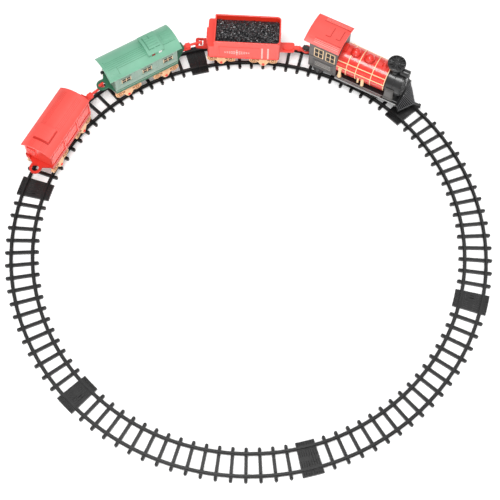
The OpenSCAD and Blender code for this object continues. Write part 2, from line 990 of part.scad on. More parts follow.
// A grab rail on the rear wall
module coal_ladder() {
    along(coal_x0 - 2.2, coal_x0 + 0.5)
        difference() {
            round_box_2d(-10, 12, 44, 58, 2);
            round_box_2d(-7, 9, 47, 55, 1.5);
        }
}

module coal_load() {
    color([0.05, 0.05, 0.06])
        difference() {
            flat(52.05, coal_level)
                coal_plan_2d(coal_deck_x, coal_wall + 0.1, 4.3);
            bar(-38, -13, -15, -11.5, 58, 80);
        }
}

module coal_underframe() {
    color(boiler_red) {
        difference() {
            flat(floor_z0, body_bottom)
                round_box_2d(coal_x0 + 0.5, coal_x1 - 0.5, -coal_half_w + 0.4,
                             coal_half_w - 0.4, 4);
            underframe_screw_holes(coal_screw_points);
        }
        pivot_pin(coal_pivot_x, coal_eye_z0, coal_eye_z1, floor_z0 + 1);
        coal_loop();
    }
}

module coal_loop() {
    difference() {
        union() {
            bar(-58, -50, -8, 8, coal_loop_z, floor_z0 + 0.5);
            flat(coal_loop_z, coal_loop_z + loop_t)
                round_box_2d(-72.8, -52, -8.8, 8.8, 3.5);
        }
        bar(coal_loop_x - 3.4, coal_loop_x + 3.4, -5.8, 5.8, 20, 60);
    }
}

// The drawbar: a plate with an oval boss, an arm, and a lower tongue that ends in an eye
module coal_hook() {
    reach = norm(coal_hitch - [coal_pivot_x, 0]);
    eye_z0 = 25.8;
    eye_z1 = 28.1;
    color(coral)
        towards(coal_pivot_x, coal_hitch) {
            pivot_eye(6, coal_eye_z0, coal_eye_z1);
            difference() {
                union() {
                    flat(coal_eye_z0, coal_eye_z1)
                        round_box_2d(4.5, 29, -8.5, 8.5, 3);
                    flat(coal_eye_z0, coal_eye_z1)
                        box_2d(26, reach - 9, -3.2, 3.2);
                    flat(coal_eye_z1 - 1, coal_eye_z1 + 1.8)
                        round_box_2d(11, 28, -5.5, 5.5, 5.4);
                    post(reach - 10.5, 0, 1.3, coal_eye_z1 - 1, coal_eye_z1 + 1.2);
                    flat(eye_z0, coal_eye_z0 + 1)
                        box_2d(reach - 14, reach - 9, -3.2, 3.2);
                    flat(eye_z0, eye_z1)
                        box_2d(reach - 14, reach - 5.5, -3.2, 3.2);
                    post(reach, 0, 7.2, eye_z0, eye_z1);
                }
                post(reach, 0, 5.2, 0, 60);
                post(0, 0, 5.5, 0, 60);
            }
        }
}

module coal_screws() {
    color(steel)
        for (p = coal_screw_points)
            screw(p, floor_z0, 43);
}

// Caboose and baggage wagon

box_pivot_x = 66;
box_eye_z0 = 28.3;
box_eye_z1 = 31.3;
box_screw_points = [[-47.8, 0], [47.8, 0]];

module box_section_2d(inset) {
    intersection() {
        box_2d(-box_half_w + inset, box_half_w - inset, box_floor_z1 + 0.1, eave_z + 20);
        arch_2d(roof_half_w, eave_z, roof_rise, roof_t + inset, 0);
    }
}

module box_body(x0, x1) {
    difference() {
        along(x0, x1)
            box_section_2d(0);
        along(x0 + 2, x1 - 2)
            box_section_2d(2);
        bar(x0 + 2, x1 - 2, -box_half_w + 2, box_half_w - 2, box_floor_z1, 50);
    }
    for (p = box_screw_points)
        difference() {
            post(p.x, 0, 3.5, box_floor_z1 + 0.1, 48);
            post(p.x, 0, screw_r, box_floor_z1, 46.5);
        }
}

green_window_xs = [-34.2, 1.3, 36.8];
green_window_half = 7.8;
green_window_z0 = 50.5;
green_window_z1 = 60;

module green_body() {
    color(side_green)
        difference() {
            box_body(-body_half_len, body_half_len);
            both_sides()
                for (x = green_window_xs)
                    bar(x - green_window_half, x + green_window_half, box_half_w - 3,
                        box_half_w + 1, green_window_z0, green_window_z1);
        }
}

module green_windows() {
    color(gold)
        both_sides()
            for (x = green_window_xs)
                across(box_half_w - 0.8, box_half_w + 0.3)
                    crossed_frame_2d(x - green_window_half + 0.05, x + green_window_half - 0.05,
                                     green_window_z0 + 0.05, green_window_z1 - 0.05, 0.8, 1.2);
}

cupola_x0 = 8;
cupola_x1 = 34;
cupola_half_w = 18.2;
cupola_eave = 80.2;
cupola_rise = 4;
cupola_window_xs = [16.8, 28];

module green_roof() {
    color(roof_green) {
        roof_shell(-60.75, 60.75, roof_half_w, eave_z, roof_rise);
        cupola_walls();
        roof_shell(cupola_x0, cupola_x1, cupola_half_w, cupola_eave, cupola_rise);
        translate([0, 0, 0.6])
            intersection() {
                roof_shell(cupola_x0 + 5.5, cupola_x1 - 3.5, cupola_half_w, cupola_eave,
                           cupola_rise);
                for (y = [-9.6 : 4.8 : 9.6])
                    bar(cupola_x0, cupola_x1, y - 1.8, y + 1.8, 70, 100);
            }
        roof_panel(-55, -42, -22.5, -9, 4);
        roof_panel(-59, -56, -8, 6, 1);
        roof_panel(40, 57, -8, 14, 5);
    }
}

module cupola_walls() {
    difference() {
        intersection() {
            bar(cupola_x0 + 1.2, cupola_x1 - 1.2, -cupola_half_w + 0.5, cupola_half_w - 0.5,
                eave_z + 1, cupola_eave);
            arch_above_2d(0);
        }
        bar(cupola_x0 + 3, cupola_x1 - 3, -cupola_half_w + 2.5, cupola_half_w - 2.5,
            60, cupola_eave + 1);
        for (x = cupola_window_xs)
            bar(x - 2.8, x + 2.8, -cupola_half_w, cupola_half_w, 73.6, 78.4);
    }
}

// Everything above the middle of the roof's thickness, up to a cap over the roof where one
// is given
module arch_above_2d(cap) {
    r = arch_r(roof_half_w, roof_rise);
    along(-70, 70)
        difference() {
            if (cap > 0)
                translate([0, eave_z + roof_rise - r])
                    circle(r + cap, $fn = 96);
            else
                box_2d(-30, 30, 40, 120);
            translate([0, eave_z + roof_rise - r])
                circle(r - roof_t / 2, $fn = 96);
        }
}

// A louvred panel that stands on the roof
module roof_panel(x0, x1, y0, y1, louvres) {
    pitch = (y1 - y0) / louvres;
    intersection() {
        union() {
            translate([0, 0, 0.5])
                roof_shell(x0, x1, roof_half_w, eave_z, roof_rise);
            for (i = [0 : louvres - 1])
                translate([0, 0, 1])
                    intersection() {
                        roof_shell(x0 + 1, x1 - 1, roof_half_w, eave_z, roof_rise);
                        bar(x0, x1, y0 + (i + 0.3) * pitch, y0 + (i + 0.7) * pitch, 60, 100);
                    }
        }
        bar(x0, x1, y0, y1, 60, 100);
    }
}

// A platform that narrows from the body's width to a tip
module end_platform_2d(x, tip_x, tip) {
    polygon([[x, -box_half_w], [x, box_half_w], [tip_x, tip], [tip_x, -tip]]);
}

module box_underframe() {
    pocket_half = 26;
    hole_r = 5.2;
    difference() {
        union() {
            flat(floor_z0, box_floor_z1)
                box_2d(-body_half_len, body_half_len, -box_half_w - 0.5, box_half_w + 0.5);
            flat(box_loop_z, box_floor_z1) {
                end_platform_2d(body_half_len - 1, box_pivot_x + 8.4, 5.2);
                end_platform_2d(-body_half_len + 1, box_loop_x + 5, 8.6);
                rear_loop_2d();
            }
            pivot_pin(box_pivot_x, box_eye_z0, box_eye_z1, box_loop_z + 1);
        }
        bar(-pocket_half, pocket_half, -box_half_w + 1.5, box_half_w - 1.5, floor_z0 - 1,
            box_floor_z1 - 2);
        for (p = box_screw_points)
            post(p.x, p.y, screw_r + 0.2, floor_z0 - 1, 50);
        post(box_loop_x - 1, 0, hole_r, 0, 60);
        bar(box_loop_x - 1, box_loop_x + 2.5, -hole_r, hole_r, 0, 60);
    }
}

module rear_loop_2d() {
    translate([box_loop_x - 1, 0])
        circle(8.6);
    box_2d(box_loop_x - 1, box_loop_x + 8, -8.6, 8.6);
}

// A hook whose arm reaches the hitch at arm_z, with a prong between the heights in prong
module box_hook(hitch, arm_z, prong) {
    reach = norm(hitch - [box_pivot_x, 0]);
    arm_t = 2.1;
    towards(box_pivot_x, hitch) {
        pivot_eye(5.6, box_eye_z0, box_eye_z1);
        difference() {
            flat(box_eye_z0, box_eye_z1)
                round_box_2d(3, 19.5, -4.3, 4.3, 1.5);
            post(0, 0, 5, 0, 60);
        }
        flat(box_eye_z0, arm_z + arm_t)
            round_box_2d(11.6, 19.5, -4.3, 4.3, 1.5);
        flat(arm_z, arm_z + arm_t)
            box_2d(18, reach + 1.6, -1.6, 1.6);
        post(reach, 0, 1.6, prong[0], prong[1]);
    }
}

module green_hook() {
    box_hook(green_hitch, 33.1, [27.6, 35.2]);
}

// This hook comes up through the loop from below and leans back over its end
module red_hook() {
    reach = norm(red_hitch - [box_pivot_x, 0]);
    box_hook(red_hitch, 30.9, [30.9, 40]);
    towards(box_pivot_x, red_hitch)
        bar(reach - 7, reach, -1.6, 1.6, box_floor_z1 + 0.7, box_floor_z1 + 3.4);
}

module box_screws() {
    color(steel)
        for (p = box_screw_points)
            screw(p, floor_z0, 46);
}

// A lamp on a bracket at the outer rear corner of a body that ends at x
module marker_lamp(x) {
    y = 17;
    z = box_floor_z1 + 2.9;
    bar(x - 1.6, x - 0.1, y - 1.2, y + 1.2, z - 2, z + 2);
    rod_along(y, z, 2.4, x - 5, x - 1.5);
    post(x - 3.2, y, 1, z, z + 4);
}

red_rear_x = -51;
red_brace_xs = [-16.5, 18, 51.5];

module red_body() {
    color(coral) {
        box_body(red_rear_x, 53);
        both_sides()
            for (x = red_brace_xs)
                bar(x - 1.1, x + 1.1, box_half_w - 0.5, box_half_w + 1.3, box_floor_z1 + 0.1,
                    64);
        red_end_panel();
    }
}

// A louvred panel on the outer half of the rear wall
module red_end_panel() {
    bar(red_rear_x - 0.7, red_rear_x + 0.5, 3, 20, 42, 63);
    for (i = [0 : 4])
        bar(red_rear_x - 1.6, red_rear_x, 4.5, 18.5, 44 + i * 3.8, 45.8 + i * 3.8);
}

module red_roof() {
    color(coral) {
        roof_shell(-55.5, 53.5, roof_half_w, eave_z, roof_rise);
        intersection() {
            bar(-38.4, -15.5, -12.4, 12.4, eave_z, eave_z + roof_rise + 6);
            arch_above_2d(3.2);
        }
    }
}

// Model

track_section(0);  // track_section_1
track_section(1);  // track_section_2
track_section(2);  // track_section_3
track_section(3);  // track_section_4
track_section(4);  // track_section_5
track_section(5);  // track_section_6
on_track(loco_at) loco_chassis();
on_track(loco_at) cowcatcher();
on_track(loco_at) boiler();
on_track(loco_at) boiler_bands();
on_track(loco_at) smokebox();
on_track(loco_at) smokestack();
on_track(loco_at) cab();
on_track(loco_at) cab_roof();
on_track(loco_at) cab_windows();
on_track(loco_at) headlight();
on_track(loco_at) headlight_lens();
on_track(loco_at) pumps();
on_track(loco_at) steam_cylinders();
on_track(loco_at) motor();
on_track(loco_at) motor_pinion();
on_track(loco_at) idler_gear();
on_track(loco_at) drive_axle();
on_track(loco_at) drive_wheels();
on_track(loco_at) traction_tyres();
on_track(loco_at) middle_wheelset();
on_track(loco_at) leading_wheelset();
on_track(loco_at) battery_cells();
on_track(loco_at) battery_contacts();
on_track(loco_at) battery_door();
on_track(loco_at) switch_knob();
on_track(loco_at) loco_coupler();
on_track(loco_at) loco_screws();
on_track(coal_at) coal_body();
on_track(coal_at) coal_load();
on_track(coal_at) coal_underframe();
on_track(coal_at) bogies();  // coal_bogies
on_track(coal_at) coal_hook();
on_track(coal_at) wagon_wheelset(axle_base / 2);  // coal_front_wheelset
on_track(coal_at) wagon_wheelset(-axle_base / 2);  // coal_rear_wheelset
on_track(coal_at) coal_screws();
on_track(green_at) green_body();
on_track(green_at) green_roof();
on_track(green_at) green_windows();
on_track(green_at) color(dark_green) box_underframe();  // green_underframe
on_track(green_at) bogies();  // green_bogies
on_track(green_at) color(coral) green_hook();
on_track(green_at) wagon_wheelset(axle_base / 2);  // green_front_wheelset
on_track(green_at) wagon_wheelset(-axle_base / 2);  // green_rear_wheelset
on_track(green_at) color(black_plastic) marker_lamp(-body_half_len);  // green_marker_lamp
on_track(green_at) box_screws();  // green_screws
on_track(red_at) red_body();
on_track(red_at) red_roof();
on_track(red_at) color(dark_red) box_underframe();  // red_underframe
on_track(red_at) bogies();  // red_bogies
on_track(red_at) color(coral) red_hook();
on_track(red_at) wagon_wheelset(axle_base / 2);  // red_front_wheelset
on_track(red_at) wagon_wheelset(-axle_base / 2);  // red_rear_wheelset
on_track(red_at) color(dark_red) marker_lamp(red_rear_x);  // red_marker_lamp
on_track(red_at) box_screws();  // red_screws
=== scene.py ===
"""Looks of the toy train and its track ring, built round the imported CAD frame."""

import json
import math
import random

import bmesh
import bpy
from mathutils import Matrix, Vector


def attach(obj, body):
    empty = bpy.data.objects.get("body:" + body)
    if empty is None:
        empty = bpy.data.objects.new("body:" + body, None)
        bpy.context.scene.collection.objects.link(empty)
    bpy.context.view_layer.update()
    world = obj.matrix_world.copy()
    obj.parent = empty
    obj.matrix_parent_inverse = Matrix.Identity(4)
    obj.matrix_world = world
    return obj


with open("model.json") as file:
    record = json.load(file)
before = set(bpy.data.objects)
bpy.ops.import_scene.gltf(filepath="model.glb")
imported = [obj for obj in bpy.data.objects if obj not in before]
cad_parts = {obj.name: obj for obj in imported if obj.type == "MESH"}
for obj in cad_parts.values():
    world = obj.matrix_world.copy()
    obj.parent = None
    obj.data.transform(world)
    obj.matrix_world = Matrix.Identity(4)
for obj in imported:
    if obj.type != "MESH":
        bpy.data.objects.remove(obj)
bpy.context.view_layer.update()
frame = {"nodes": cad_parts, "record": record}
MM = 0.001
UP = (0, 0, 1)
AHEAD = (1, 0, 0)
JOINTS = {j["name"]: j for j in frame["record"]["behaviour"]["joints"]}

# Sizes of the CAD part that the details line up with, in millimetres
BOILER_Z = 50.5
SMOKEBOX_R = 20.5
SMOKEBOX_FRONT = 89.7
DOMES = (6.3, 28.6)
DOME_R = 7.2
BELL_X = 53.6
CAB_ROOF_RISE = 5.5
CAB_WINDOWS = (-44.25, -25.05)
BOARD_TOP = 28.5
BOARD_FRONT = 89
BOARD_HALF = 25.8
DRIVER_R = 7.4
LEADER_R = 5.8
WHEEL_FACE = 17.9
CAR_EAVE = 69.5
CAR_ROOF_RISE = 8.0
CAR_ROOF_HALF = 24.6
RED_SIDE = 22.5
CUPOLA_HALF = 18.2
CUPOLA_RISE = 4.0
AXLE_CAP_Y = 22.6
BOSS_Z = 24.2
TRACK_R = 326.0
SECTIONS = 6
JOINT_ANGLE = 45.6
SLEEPERS = 16
FIRST_SLEEPER = 4.93
SLEEPER_PITCH = 3.342
SLEEPER_TOP = 3.9

# ---------------------------------------------------------------- materials


class Nodes:
    """A small helper that adds and links the nodes of one material."""

    def __init__(self, name):
        self.material = bpy.data.materials.new(name)
        self.material.use_nodes = True
        self.tree = self.material.node_tree
        self.shader = self.tree.nodes["Principled BSDF"]
        self.where = self.tree.nodes.new("ShaderNodeTexCoord").outputs["Object"]

    def add(self, kind, **inputs):
        node = self.tree.nodes.new(kind)
        for key, value in inputs.items():
            self.set(node.inputs[key.replace("_", " ")], value)
        return node

    def set(self, socket, value):
        if isinstance(value, bpy.types.NodeSocket):
            self.tree.links.new(value, socket)
        else:
            socket.default_value = value

    def noise(self, scale, detail=4.0):
        node = self.add("ShaderNodeTexNoise", Vector=self.where, Scale=scale, Detail=detail,
                        Roughness=0.55)
        return node.outputs["Fac"]

    def cells(self, scale):
        return self.add("ShaderNodeTexVoronoi", Vector=self.where, Scale=scale).outputs

    def ramp(self, fac, stops):
        node = self.add("ShaderNodeValToRGB", Fac=fac)
        elements = node.color_ramp.elements
        while len(elements) < len(stops):
            elements.new(0.5)
        for element, (place, colour) in zip(elements, stops):
            element.position = place
            element.color = (*colour, 1.0)
        return node.outputs["Color"]

    def spread(self, fac, low, high, start=0.3, end=0.7):
        node = self.add("ShaderNodeMapRange", Value=fac)
        node.inputs["From Min"].default_value = start
        node.inputs["From Max"].default_value = end
        node.inputs["To Min"].default_value = low
        node.inputs["To Max"].default_value = high
        return node.outputs["Result"]

    def bump(self, height, strength, distance):
        node = self.add("ShaderNodeBump", Height=height, Strength=strength, Distance=distance)
        self.set(self.shader.inputs["Normal"], node.outputs["Normal"])


def tint(colour, factor):
    return tuple(min(1.0, c * factor) for c in colour)


def moulded(name, colour, rough, grain=0.12, coat=0.0, vary=0.07, metal=0.0, haze=0.12):
    """Moulded or painted plastic: faint flow marks, a fine grain and an uneven gloss."""
    n = Nodes(name)
    n.set(n.shader.inputs["Base Color"], n.ramp(n.noise(28.0, detail=3.0), [
        (0.3, tint(colour, 1.0 - vary)), (0.7, tint(colour, 1.0 + vary))]))
    n.set(n.shader.inputs["Roughness"], n.spread(n.noise(160.0), rough - 0.06, rough + 0.06))
    n.shader.inputs["Metallic"].default_value = metal
    n.shader.inputs["Coat Weight"].default_value = coat
    n.shader.inputs["Coat Roughness"].default_value = haze
    n.bump(n.noise(1400.0, detail=2.0), grain, 0.0001)
    return n.material


def brushed(name, colour, rough):
    """Metal with fine turning marks and a slightly uneven tone."""
    n = Nodes(name)
    n.set(n.shader.inputs["Base Color"], n.ramp(n.noise(60.0), [
        (0.3, tint(colour, 0.88)), (0.7, tint(colour, 1.08))]))
    n.set(n.shader.inputs["Roughness"], n.spread(n.noise(900.0), rough - 0.08, rough + 0.08))
    n.shader.inputs["Metallic"].default_value = 1.0
    n.bump(n.noise(2600.0), 0.15, 0.0001)
    return n.material


def coal(name):
    """Broken coal: near black with light grey spots of painted glint, each small facet with its
    own gloss.
    """
    n = Nodes(name)
    facets = n.cells(620.0)
    # The light grey top of the ramp paints glints on the coal.
    n.set(n.shader.inputs["Base Color"], n.ramp(n.noise(520.0), [
        (0.42, (0.004, 0.004, 0.005)), (0.6, (0.02, 0.02, 0.023)), (0.68, (0.3, 0.3, 0.31))]))
    n.set(n.shader.inputs["Roughness"], n.spread(facets["Distance"], 0.1, 0.34, 0.0, 0.8))
    n.shader.inputs["Coat Weight"].default_value = 0.6
    n.bump(facets["Distance"], 0.6, 0.0004)
    return n.material


MATERIALS = {
    "track_black": moulded("track_black", (0.008, 0.0078, 0.008), 0.38, grain=0.3, vary=0.2),
    "loco_black": moulded("loco_black", (0.011, 0.011, 0.0115), 0.32, grain=0.2, coat=0.3),
    "boiler_red": moulded("boiler_red", (0.74, 0.03, 0.018), 0.27, grain=0.03, coat=0.5),
    "gold_trim": moulded("gold_trim", (0.93, 0.66, 0.38), 0.38, metal=0.1),
    "cab_grey": moulded("cab_grey", (0.105, 0.1, 0.096), 0.42, grain=0.25, vary=0.12),
    "roof_red": moulded("roof_red", (0.88, 0.08, 0.062), 0.38, coat=0.6, haze=0.33),
    "clear_lens": moulded("clear_lens", (0.85, 0.86, 0.8), 0.1, coat=0.5),
    "steel": brushed("steel", (0.62, 0.62, 0.64), 0.32),
    "brass_gear": brushed("brass_gear", (0.8, 0.58, 0.28), 0.3),
    "gear_nylon": moulded("gear_nylon", (0.82, 0.82, 0.78), 0.45),
    "tyre_rubber": moulded("tyre_rubber", (0.03, 0.03, 0.03), 0.7, grain=0.4),
    "cell_jacket": moulded("cell_jacket", (0.05, 0.09, 0.14), 0.3),
    "wagon_red": moulded("wagon_red", (0.86, 0.06, 0.04), 0.34, coat=0.45, haze=0.25),
    "coal_black": coal("coal_black"),
    "frame_red": moulded("frame_red", (0.62, 0.028, 0.016), 0.36, coat=0.15),
    "bogie_gold": moulded("bogie_gold", (0.88, 0.52, 0.28), 0.42, vary=0.12),
    "wheel_red": moulded("wheel_red", (0.76, 0.04, 0.03), 0.28, coat=0.3),
    "roof_green": moulded("roof_green", (0.155, 0.41, 0.27), 0.4, coat=0.9, haze=0.33),
    "side_green": moulded("side_green", (0.25, 0.37, 0.3), 0.4, coat=0.15),
    "frame_green": moulded("frame_green", (0.03, 0.15, 0.08), 0.4),
}
PRINT_WHITE = moulded("print_white", (0.86, 0.82, 0.83), 0.3, grain=0.05, vary=0.04)
# A near-black sheet set in window openings: painted shade.
SHADE_PANE = moulded("window_shade", (0.003, 0.003, 0.003), 0.5, grain=0.02)
# Pink print on the coal wagon; on the cab roof the same pink paints highlight streaks.
PRINT_AND_HIGHLIGHT_PINK = moulded("print_and_highlight_pink", (0.88, 0.5, 0.46), 0.3, grain=0.05, vary=0.04)
# Mid grey for the black board's ribs: painted highlight.
BOARD_HIGHLIGHT = moulded("board_highlight_grey", (0.3, 0.3, 0.3), 0.3, grain=0.1, coat=0.4)
WALL_RED = moulded("wall_red", (0.88, 0.032, 0.01), 0.45, grain=0.1)
# Darker red lines for the roof's grooves: painted shade.
ROOF_GROOVE_SHADE = moulded("roof_line", (0.66, 0.04, 0.028), 0.45, grain=0.1)
# Grey for the black cowcatcher's slats: painted highlight.
SLAT_HIGHLIGHT = moulded("slat_highlight_grey", (0.1, 0.1, 0.105), 0.35, grain=0.1)
PLATE_GREY = moulded("plate_grey", (0.42, 0.4, 0.37), 0.4, grain=0.1)
ROOF_SHADE = moulded("roof_shade", (0.5, 0.02, 0.012), 0.45, grain=0.1)
PLANK_SHADE = moulded("plank_shade", (0.07, 0.25, 0.15), 0.45, grain=0.1)
GOLD_SHADE = moulded("gold_shade", (0.36, 0.15, 0.055), 0.5, grain=0.1)
RED_PANE = moulded("red_pane", (0.34, 0.008, 0.012), 0.12, grain=0.02, coat=0.6)


def dress_nodes():
    slots = {s["node"]: s["material_slot"] for s in frame["record"]["subparts"]}
    for name, obj in frame["nodes"].items():
        obj.data.materials.clear()
        obj.data.materials.append(MATERIALS[slots[name]])


def redden_inside(vehicle):
    """Gives the walls round the load, which catch no direct light, a deeper red."""
    mesh = frame["nodes"]["coal_body"].data
    mesh.materials.append(WALL_RED)
    back = vehicle.matrix.inverted()
    low, high = vehicle.box("coal_body")
    rear = vehicle.box("coal_load")[0].x - 0.2
    turn = back.to_3x3()
    for face in mesh.polygons:
        centre = back @ face.center / MM
        normal = (turn @ face.normal).normalized()
        inward = centre.y * normal.y < 0 or centre.x * normal.x < 0
        inside = centre.x > rear and centre.z > low.z + 12 and abs(centre.y) < high.y - 1
        if abs(normal.z) < 0.7 and inward and inside:
            face.material_index = 1


dress_nodes()

# ---------------------------------------------------------------- building pieces


class Vehicle:
    """A vehicle's own frame: x forward, y outward from the ring, z up, in millimetres."""

    def __init__(self, body, *axles):
        places = [Vector(JOINTS[a]["pos_m"]) for a in axles]
        y = Vector(JOINTS[axles[0]]["axis"])
        x = y.cross(Vector((0, 0, 1)))
        middle = sum(places, Vector()) / len(places)
        middle.z = 0.0
        self.body = body
        self.matrix = Matrix.Translation(middle) @ Matrix((x, y, (0, 0, 1))).transposed().to_4x4()

    def place(self, joint):
        """Where a joint is in this frame."""
        return self.matrix.inverted() @ Vector(JOINTS[joint]["pos_m"]) / MM

    def box(self, node):
        """Lowest and highest corner of a CAD node in this frame."""
        back = self.matrix.inverted()
        points = [back @ v.co / MM for v in frame["nodes"][node].data.vertices]
        return tuple(Vector(pick(p[i] for p in points) for i in range(3)) for pick in (min, max))


class Piece:
    """Gathers the shapes of one piece in the millimetres of its place."""

    def __init__(self, name, matrix, body, slot, material=None):
        self.name, self.matrix, self.body, self.slot = name, matrix, body, slot
        self.material = material or MATERIALS[slot]
        self.bm = bmesh.new()

    def box(self, x0, x1, y0, y1, z0, z1):
        size = Matrix.Diagonal((x1 - x0, y1 - y0, z1 - z0, 1.0))
        middle = Matrix.Translation(((x0 + x1) / 2, (y0 + y1) / 2, (z0 + z1) / 2))
        bmesh.ops.create_cube(self.bm, size=1.0, matrix=middle @ size)

    def rod(self, p, q, r, end_r=None, sides=16):
        p, q = Vector(p), Vector(q)
        along = q - p
        turn = along.to_track_quat("Z", "Y").to_matrix().to_4x4()
        bmesh.ops.create_cone(self.bm, cap_ends=True, segments=sides, radius1=r,
                              radius2=r if end_r is None else end_r, depth=along.length,
                              matrix=Matrix.Translation((p + q) / 2) @ turn)

    def knob(self, place, axis, r, height, sides=12, rings=4):
        """A low round cap, such as a rivet or an axle end, that stands out along axis."""
        turn = Vector(axis).to_track_quat("Z", "Y").to_matrix().to_4x4()
        at = Matrix.Translation(place) @ turn
        loops = []
        for i in range(rings):
            a = i * math.pi / 2 / rings
            loops.append([self.bm.verts.new(at @ Vector((
                r * math.cos(a) * math.cos(t), r * math.cos(a) * math.sin(t),
                height * math.sin(a)))) for t in (k * 2 * math.pi / sides for k in range(sides))])
        top = self.bm.verts.new(at @ Vector((0, 0, height)))
        for low, high in zip(loops, loops[1:]):
            for k in range(sides):
                self.bm.faces.new((low[k], low[(k + 1) % sides], high[(k + 1) % sides], high[k]))
        for k in range(sides):
            self.bm.faces.new((loops[-1][k], loops[-1][(k + 1) % sides], top))
        self.bm.faces.new(reversed(loops[0]))

    def ring(self, place, axis, r, thick, sides=32, around=8):
        """A torus about axis."""
        turn = Vector(axis).to_track_quat("Z", "Y").to_matrix().to_4x4()
        at = Matrix.Translation(place) @ turn
        loops = []
        for k in range(sides):
            a = k * 2 * math.pi / sides
            loops.append([self.bm.verts.new(at @ Vector((
                (r + thick * math.cos(t)) * math.cos(a), (r + thick * math.cos(t)) * math.sin(a),
                thick * math.sin(t)))) for t in (i * 2 * math.pi / around for i in range(around))])
        for k in range(sides):
            one, two = loops[k], loops[(k + 1) % sides]
            for i in range(around):
                j = (i + 1) % around
                self.bm.faces.new((one[i], two[i], two[j], one[j]))

    def strip(self, path, section):
        """Sweeps a closed section, a list of (out, up), along a path of (point, out, up)."""
        loops = [[self.bm.verts.new(p + out * s[0] + up * s[1]) for s in section]
                 for p, out, up in path]
        count = len(section)
        for one, two in zip(loops, loops[1:]):
            for i in range(count):
                j = (i + 1) % count
                self.bm.faces.new((one[i], one[j], two[j], two[i]))
        self.bm.faces.new(reversed(loops[0]))
        self.bm.faces.new(loops[-1])

    def finish(self, bevel=0.12, smooth=True):
        bmesh.ops.recalc_face_normals(self.bm, faces=self.bm.faces)
        mesh = bpy.data.meshes.new(self.name)
        self.bm.to_mesh(mesh)
        self.bm.free()
        mesh.transform(self.matrix @ Matrix.Diagonal((MM, MM, MM, 1.0)))
        mesh.materials.append(self.material)
        obj = bpy.data.objects.new(self.name, mesh)
        bpy.context.collection.objects.link(obj)
        if bevel:
            edge = obj.modifiers.new("edges", "BEVEL")
            edge.width = bevel * MM
            edge.segments = 2
            edge.limit_method = "ANGLE"
            edge.angle_limit = math.radians(40)
        if smooth:
            mesh.shade_smooth()
            mesh.set_sharp_from_angle(angle=math.radians(35))
        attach(obj, self.body)
        return obj


LOCO = Vehicle("loco", "middle_wheels_spin")
COAL = Vehicle("coal_wagon", "coal_front_wheels_spin", "coal_rear_wheels_spin")
GREEN = Vehicle("caboose", "caboose_front_wheels_spin", "caboose_rear_wheels_spin")
RED = Vehicle("baggage_wagon", "baggage_front_wheels_spin", "baggage_rear_wheels_spin")


def piece_on(vehicle, name, slot, material=None, body=None):
    return Piece(name, vehicle.matrix, body or vehicle.body, slot, material)


def layer(side, face, sunk, proud):
    """The range, low end first, of a thin layer sunk into a wall and standing proud of it."""
    return sorted((face - side * sunk, face + side * proud))


def steps(first, last, pitch):
    """Evenly spaced values from first to last, at about the given pitch."""
    count = max(1, round((last - first) / pitch))
    return [first + (last - first) * i / count for i in range(count + 1)]


# ---------------------------------------------------------------- locomotive


def four_panes(piece, x, z, half_x, half_z, rim_x, rim_z, bar, shade_layer):
    """Four dark panes between the rim and the crossed bars of one window, painted shade in its
    openings.
    """
    for way_x in (-1, 1):
        for way_z in (-1, 1):
            xs = sorted((x + way_x * bar / 2, x + way_x * (half_x - rim_x)))
            zs = sorted((z + way_z * bar / 2, z + way_z * (half_z - rim_z)))
            piece.box(*xs, *shade_layer, *zs)


def cab_details():
    """Rails and rivets on the cab's sides, the dark window panes of painted shade and the plates.
    """
    low, high = LOCO.box("cab")
    windows = LOCO.box("cab_windows")
    rivets = piece_on(LOCO, "cab_rivets_and_rails", "cab_grey")
    # The window panes are near-black sheets: painted shade in the openings.
    panes = piece_on(LOCO, "cab_window_shade", "loco_black", SHADE_PANE)
    for side in (-1, 1):
        face = side * high.y
        out = (0, side, 0)
        skin = layer(side, face, 0.3, 0.7)
        rivets.box(low.x, high.x, *skin, windows[0].z - 3.4, windows[0].z - 2.2)
        rivets.box(low.x, high.x, *skin, low.z + 0.4, low.z + 1.6)
        for x in steps(low.x + 1.6, high.x - 1.6, 3.6):
            rivets.knob((x, face, windows[1].z + 2.6), out, 0.5, 0.35)
        for x in (low.x + 1.4, high.x - 1.4):
            for z in steps(low.z + 4.5, windows[0].z - 6, 3.4):
                rivets.knob((x, face, z), out, 0.5, 0.35)
        shade_layer = layer(side, face, 0.6, 0.46)
        middle = (windows[0].z + windows[1].z) / 2
        for x in CAB_WINDOWS:
            four_panes(panes, x, middle, 7.75, 10.75, 1.3, 1.3, 1.1, shade_layer)
    rivets.finish()
    panes.finish(bevel=0.0)
    name_plates(low, windows[0].z)


def name_plates(low, under):
    """A plain ornamental plate under the windows: a frame round a row of studs and two lines."""
    frames = piece_on(LOCO, "cab_plates", "cab_grey")
    row = piece_on(LOCO, "cab_plate_ornaments", "cab_grey", PLATE_GREY)
    x0, x1 = low.x + 8.5, low.x + 39.5
    z0, z1 = low.z + 3.2, under - 9.5
    middle = (z0 + z1) / 2
    for side in (-1, 1):
        face = -side * low.y
        frames.box(x0, x1, *layer(side, face, 0.2, 0.5), z0, z1)
        for z in (z0, z1):
            frames.rod((x0, face + side * 0.6, z), (x1, face + side * 0.6, z), 0.6)
        for x in (x0, x1):
            frames.rod((x, face + side * 0.6, z0), (x, face + side * 0.6, z1), 0.6)
            for z in (z0, z1):
                frames.knob((x, face + side * 0.5, z), (0, side, 0), 1.5, 0.7)
        for x in steps(x0 + 3.6, x1 - 3.6, 2.4):
            row.knob((x, face + side * 0.4, middle), (0, side, 0), 0.75, 0.6, sides=8)
        for z in (middle - 3.8, middle + 3.8):
            row.rod((x0 + 2.6, face + side * 0.55, z), (x1 - 2.6, face + side * 0.55, z), 0.3)
    frames.finish()
    row.finish(bevel=0.0, smooth=False)


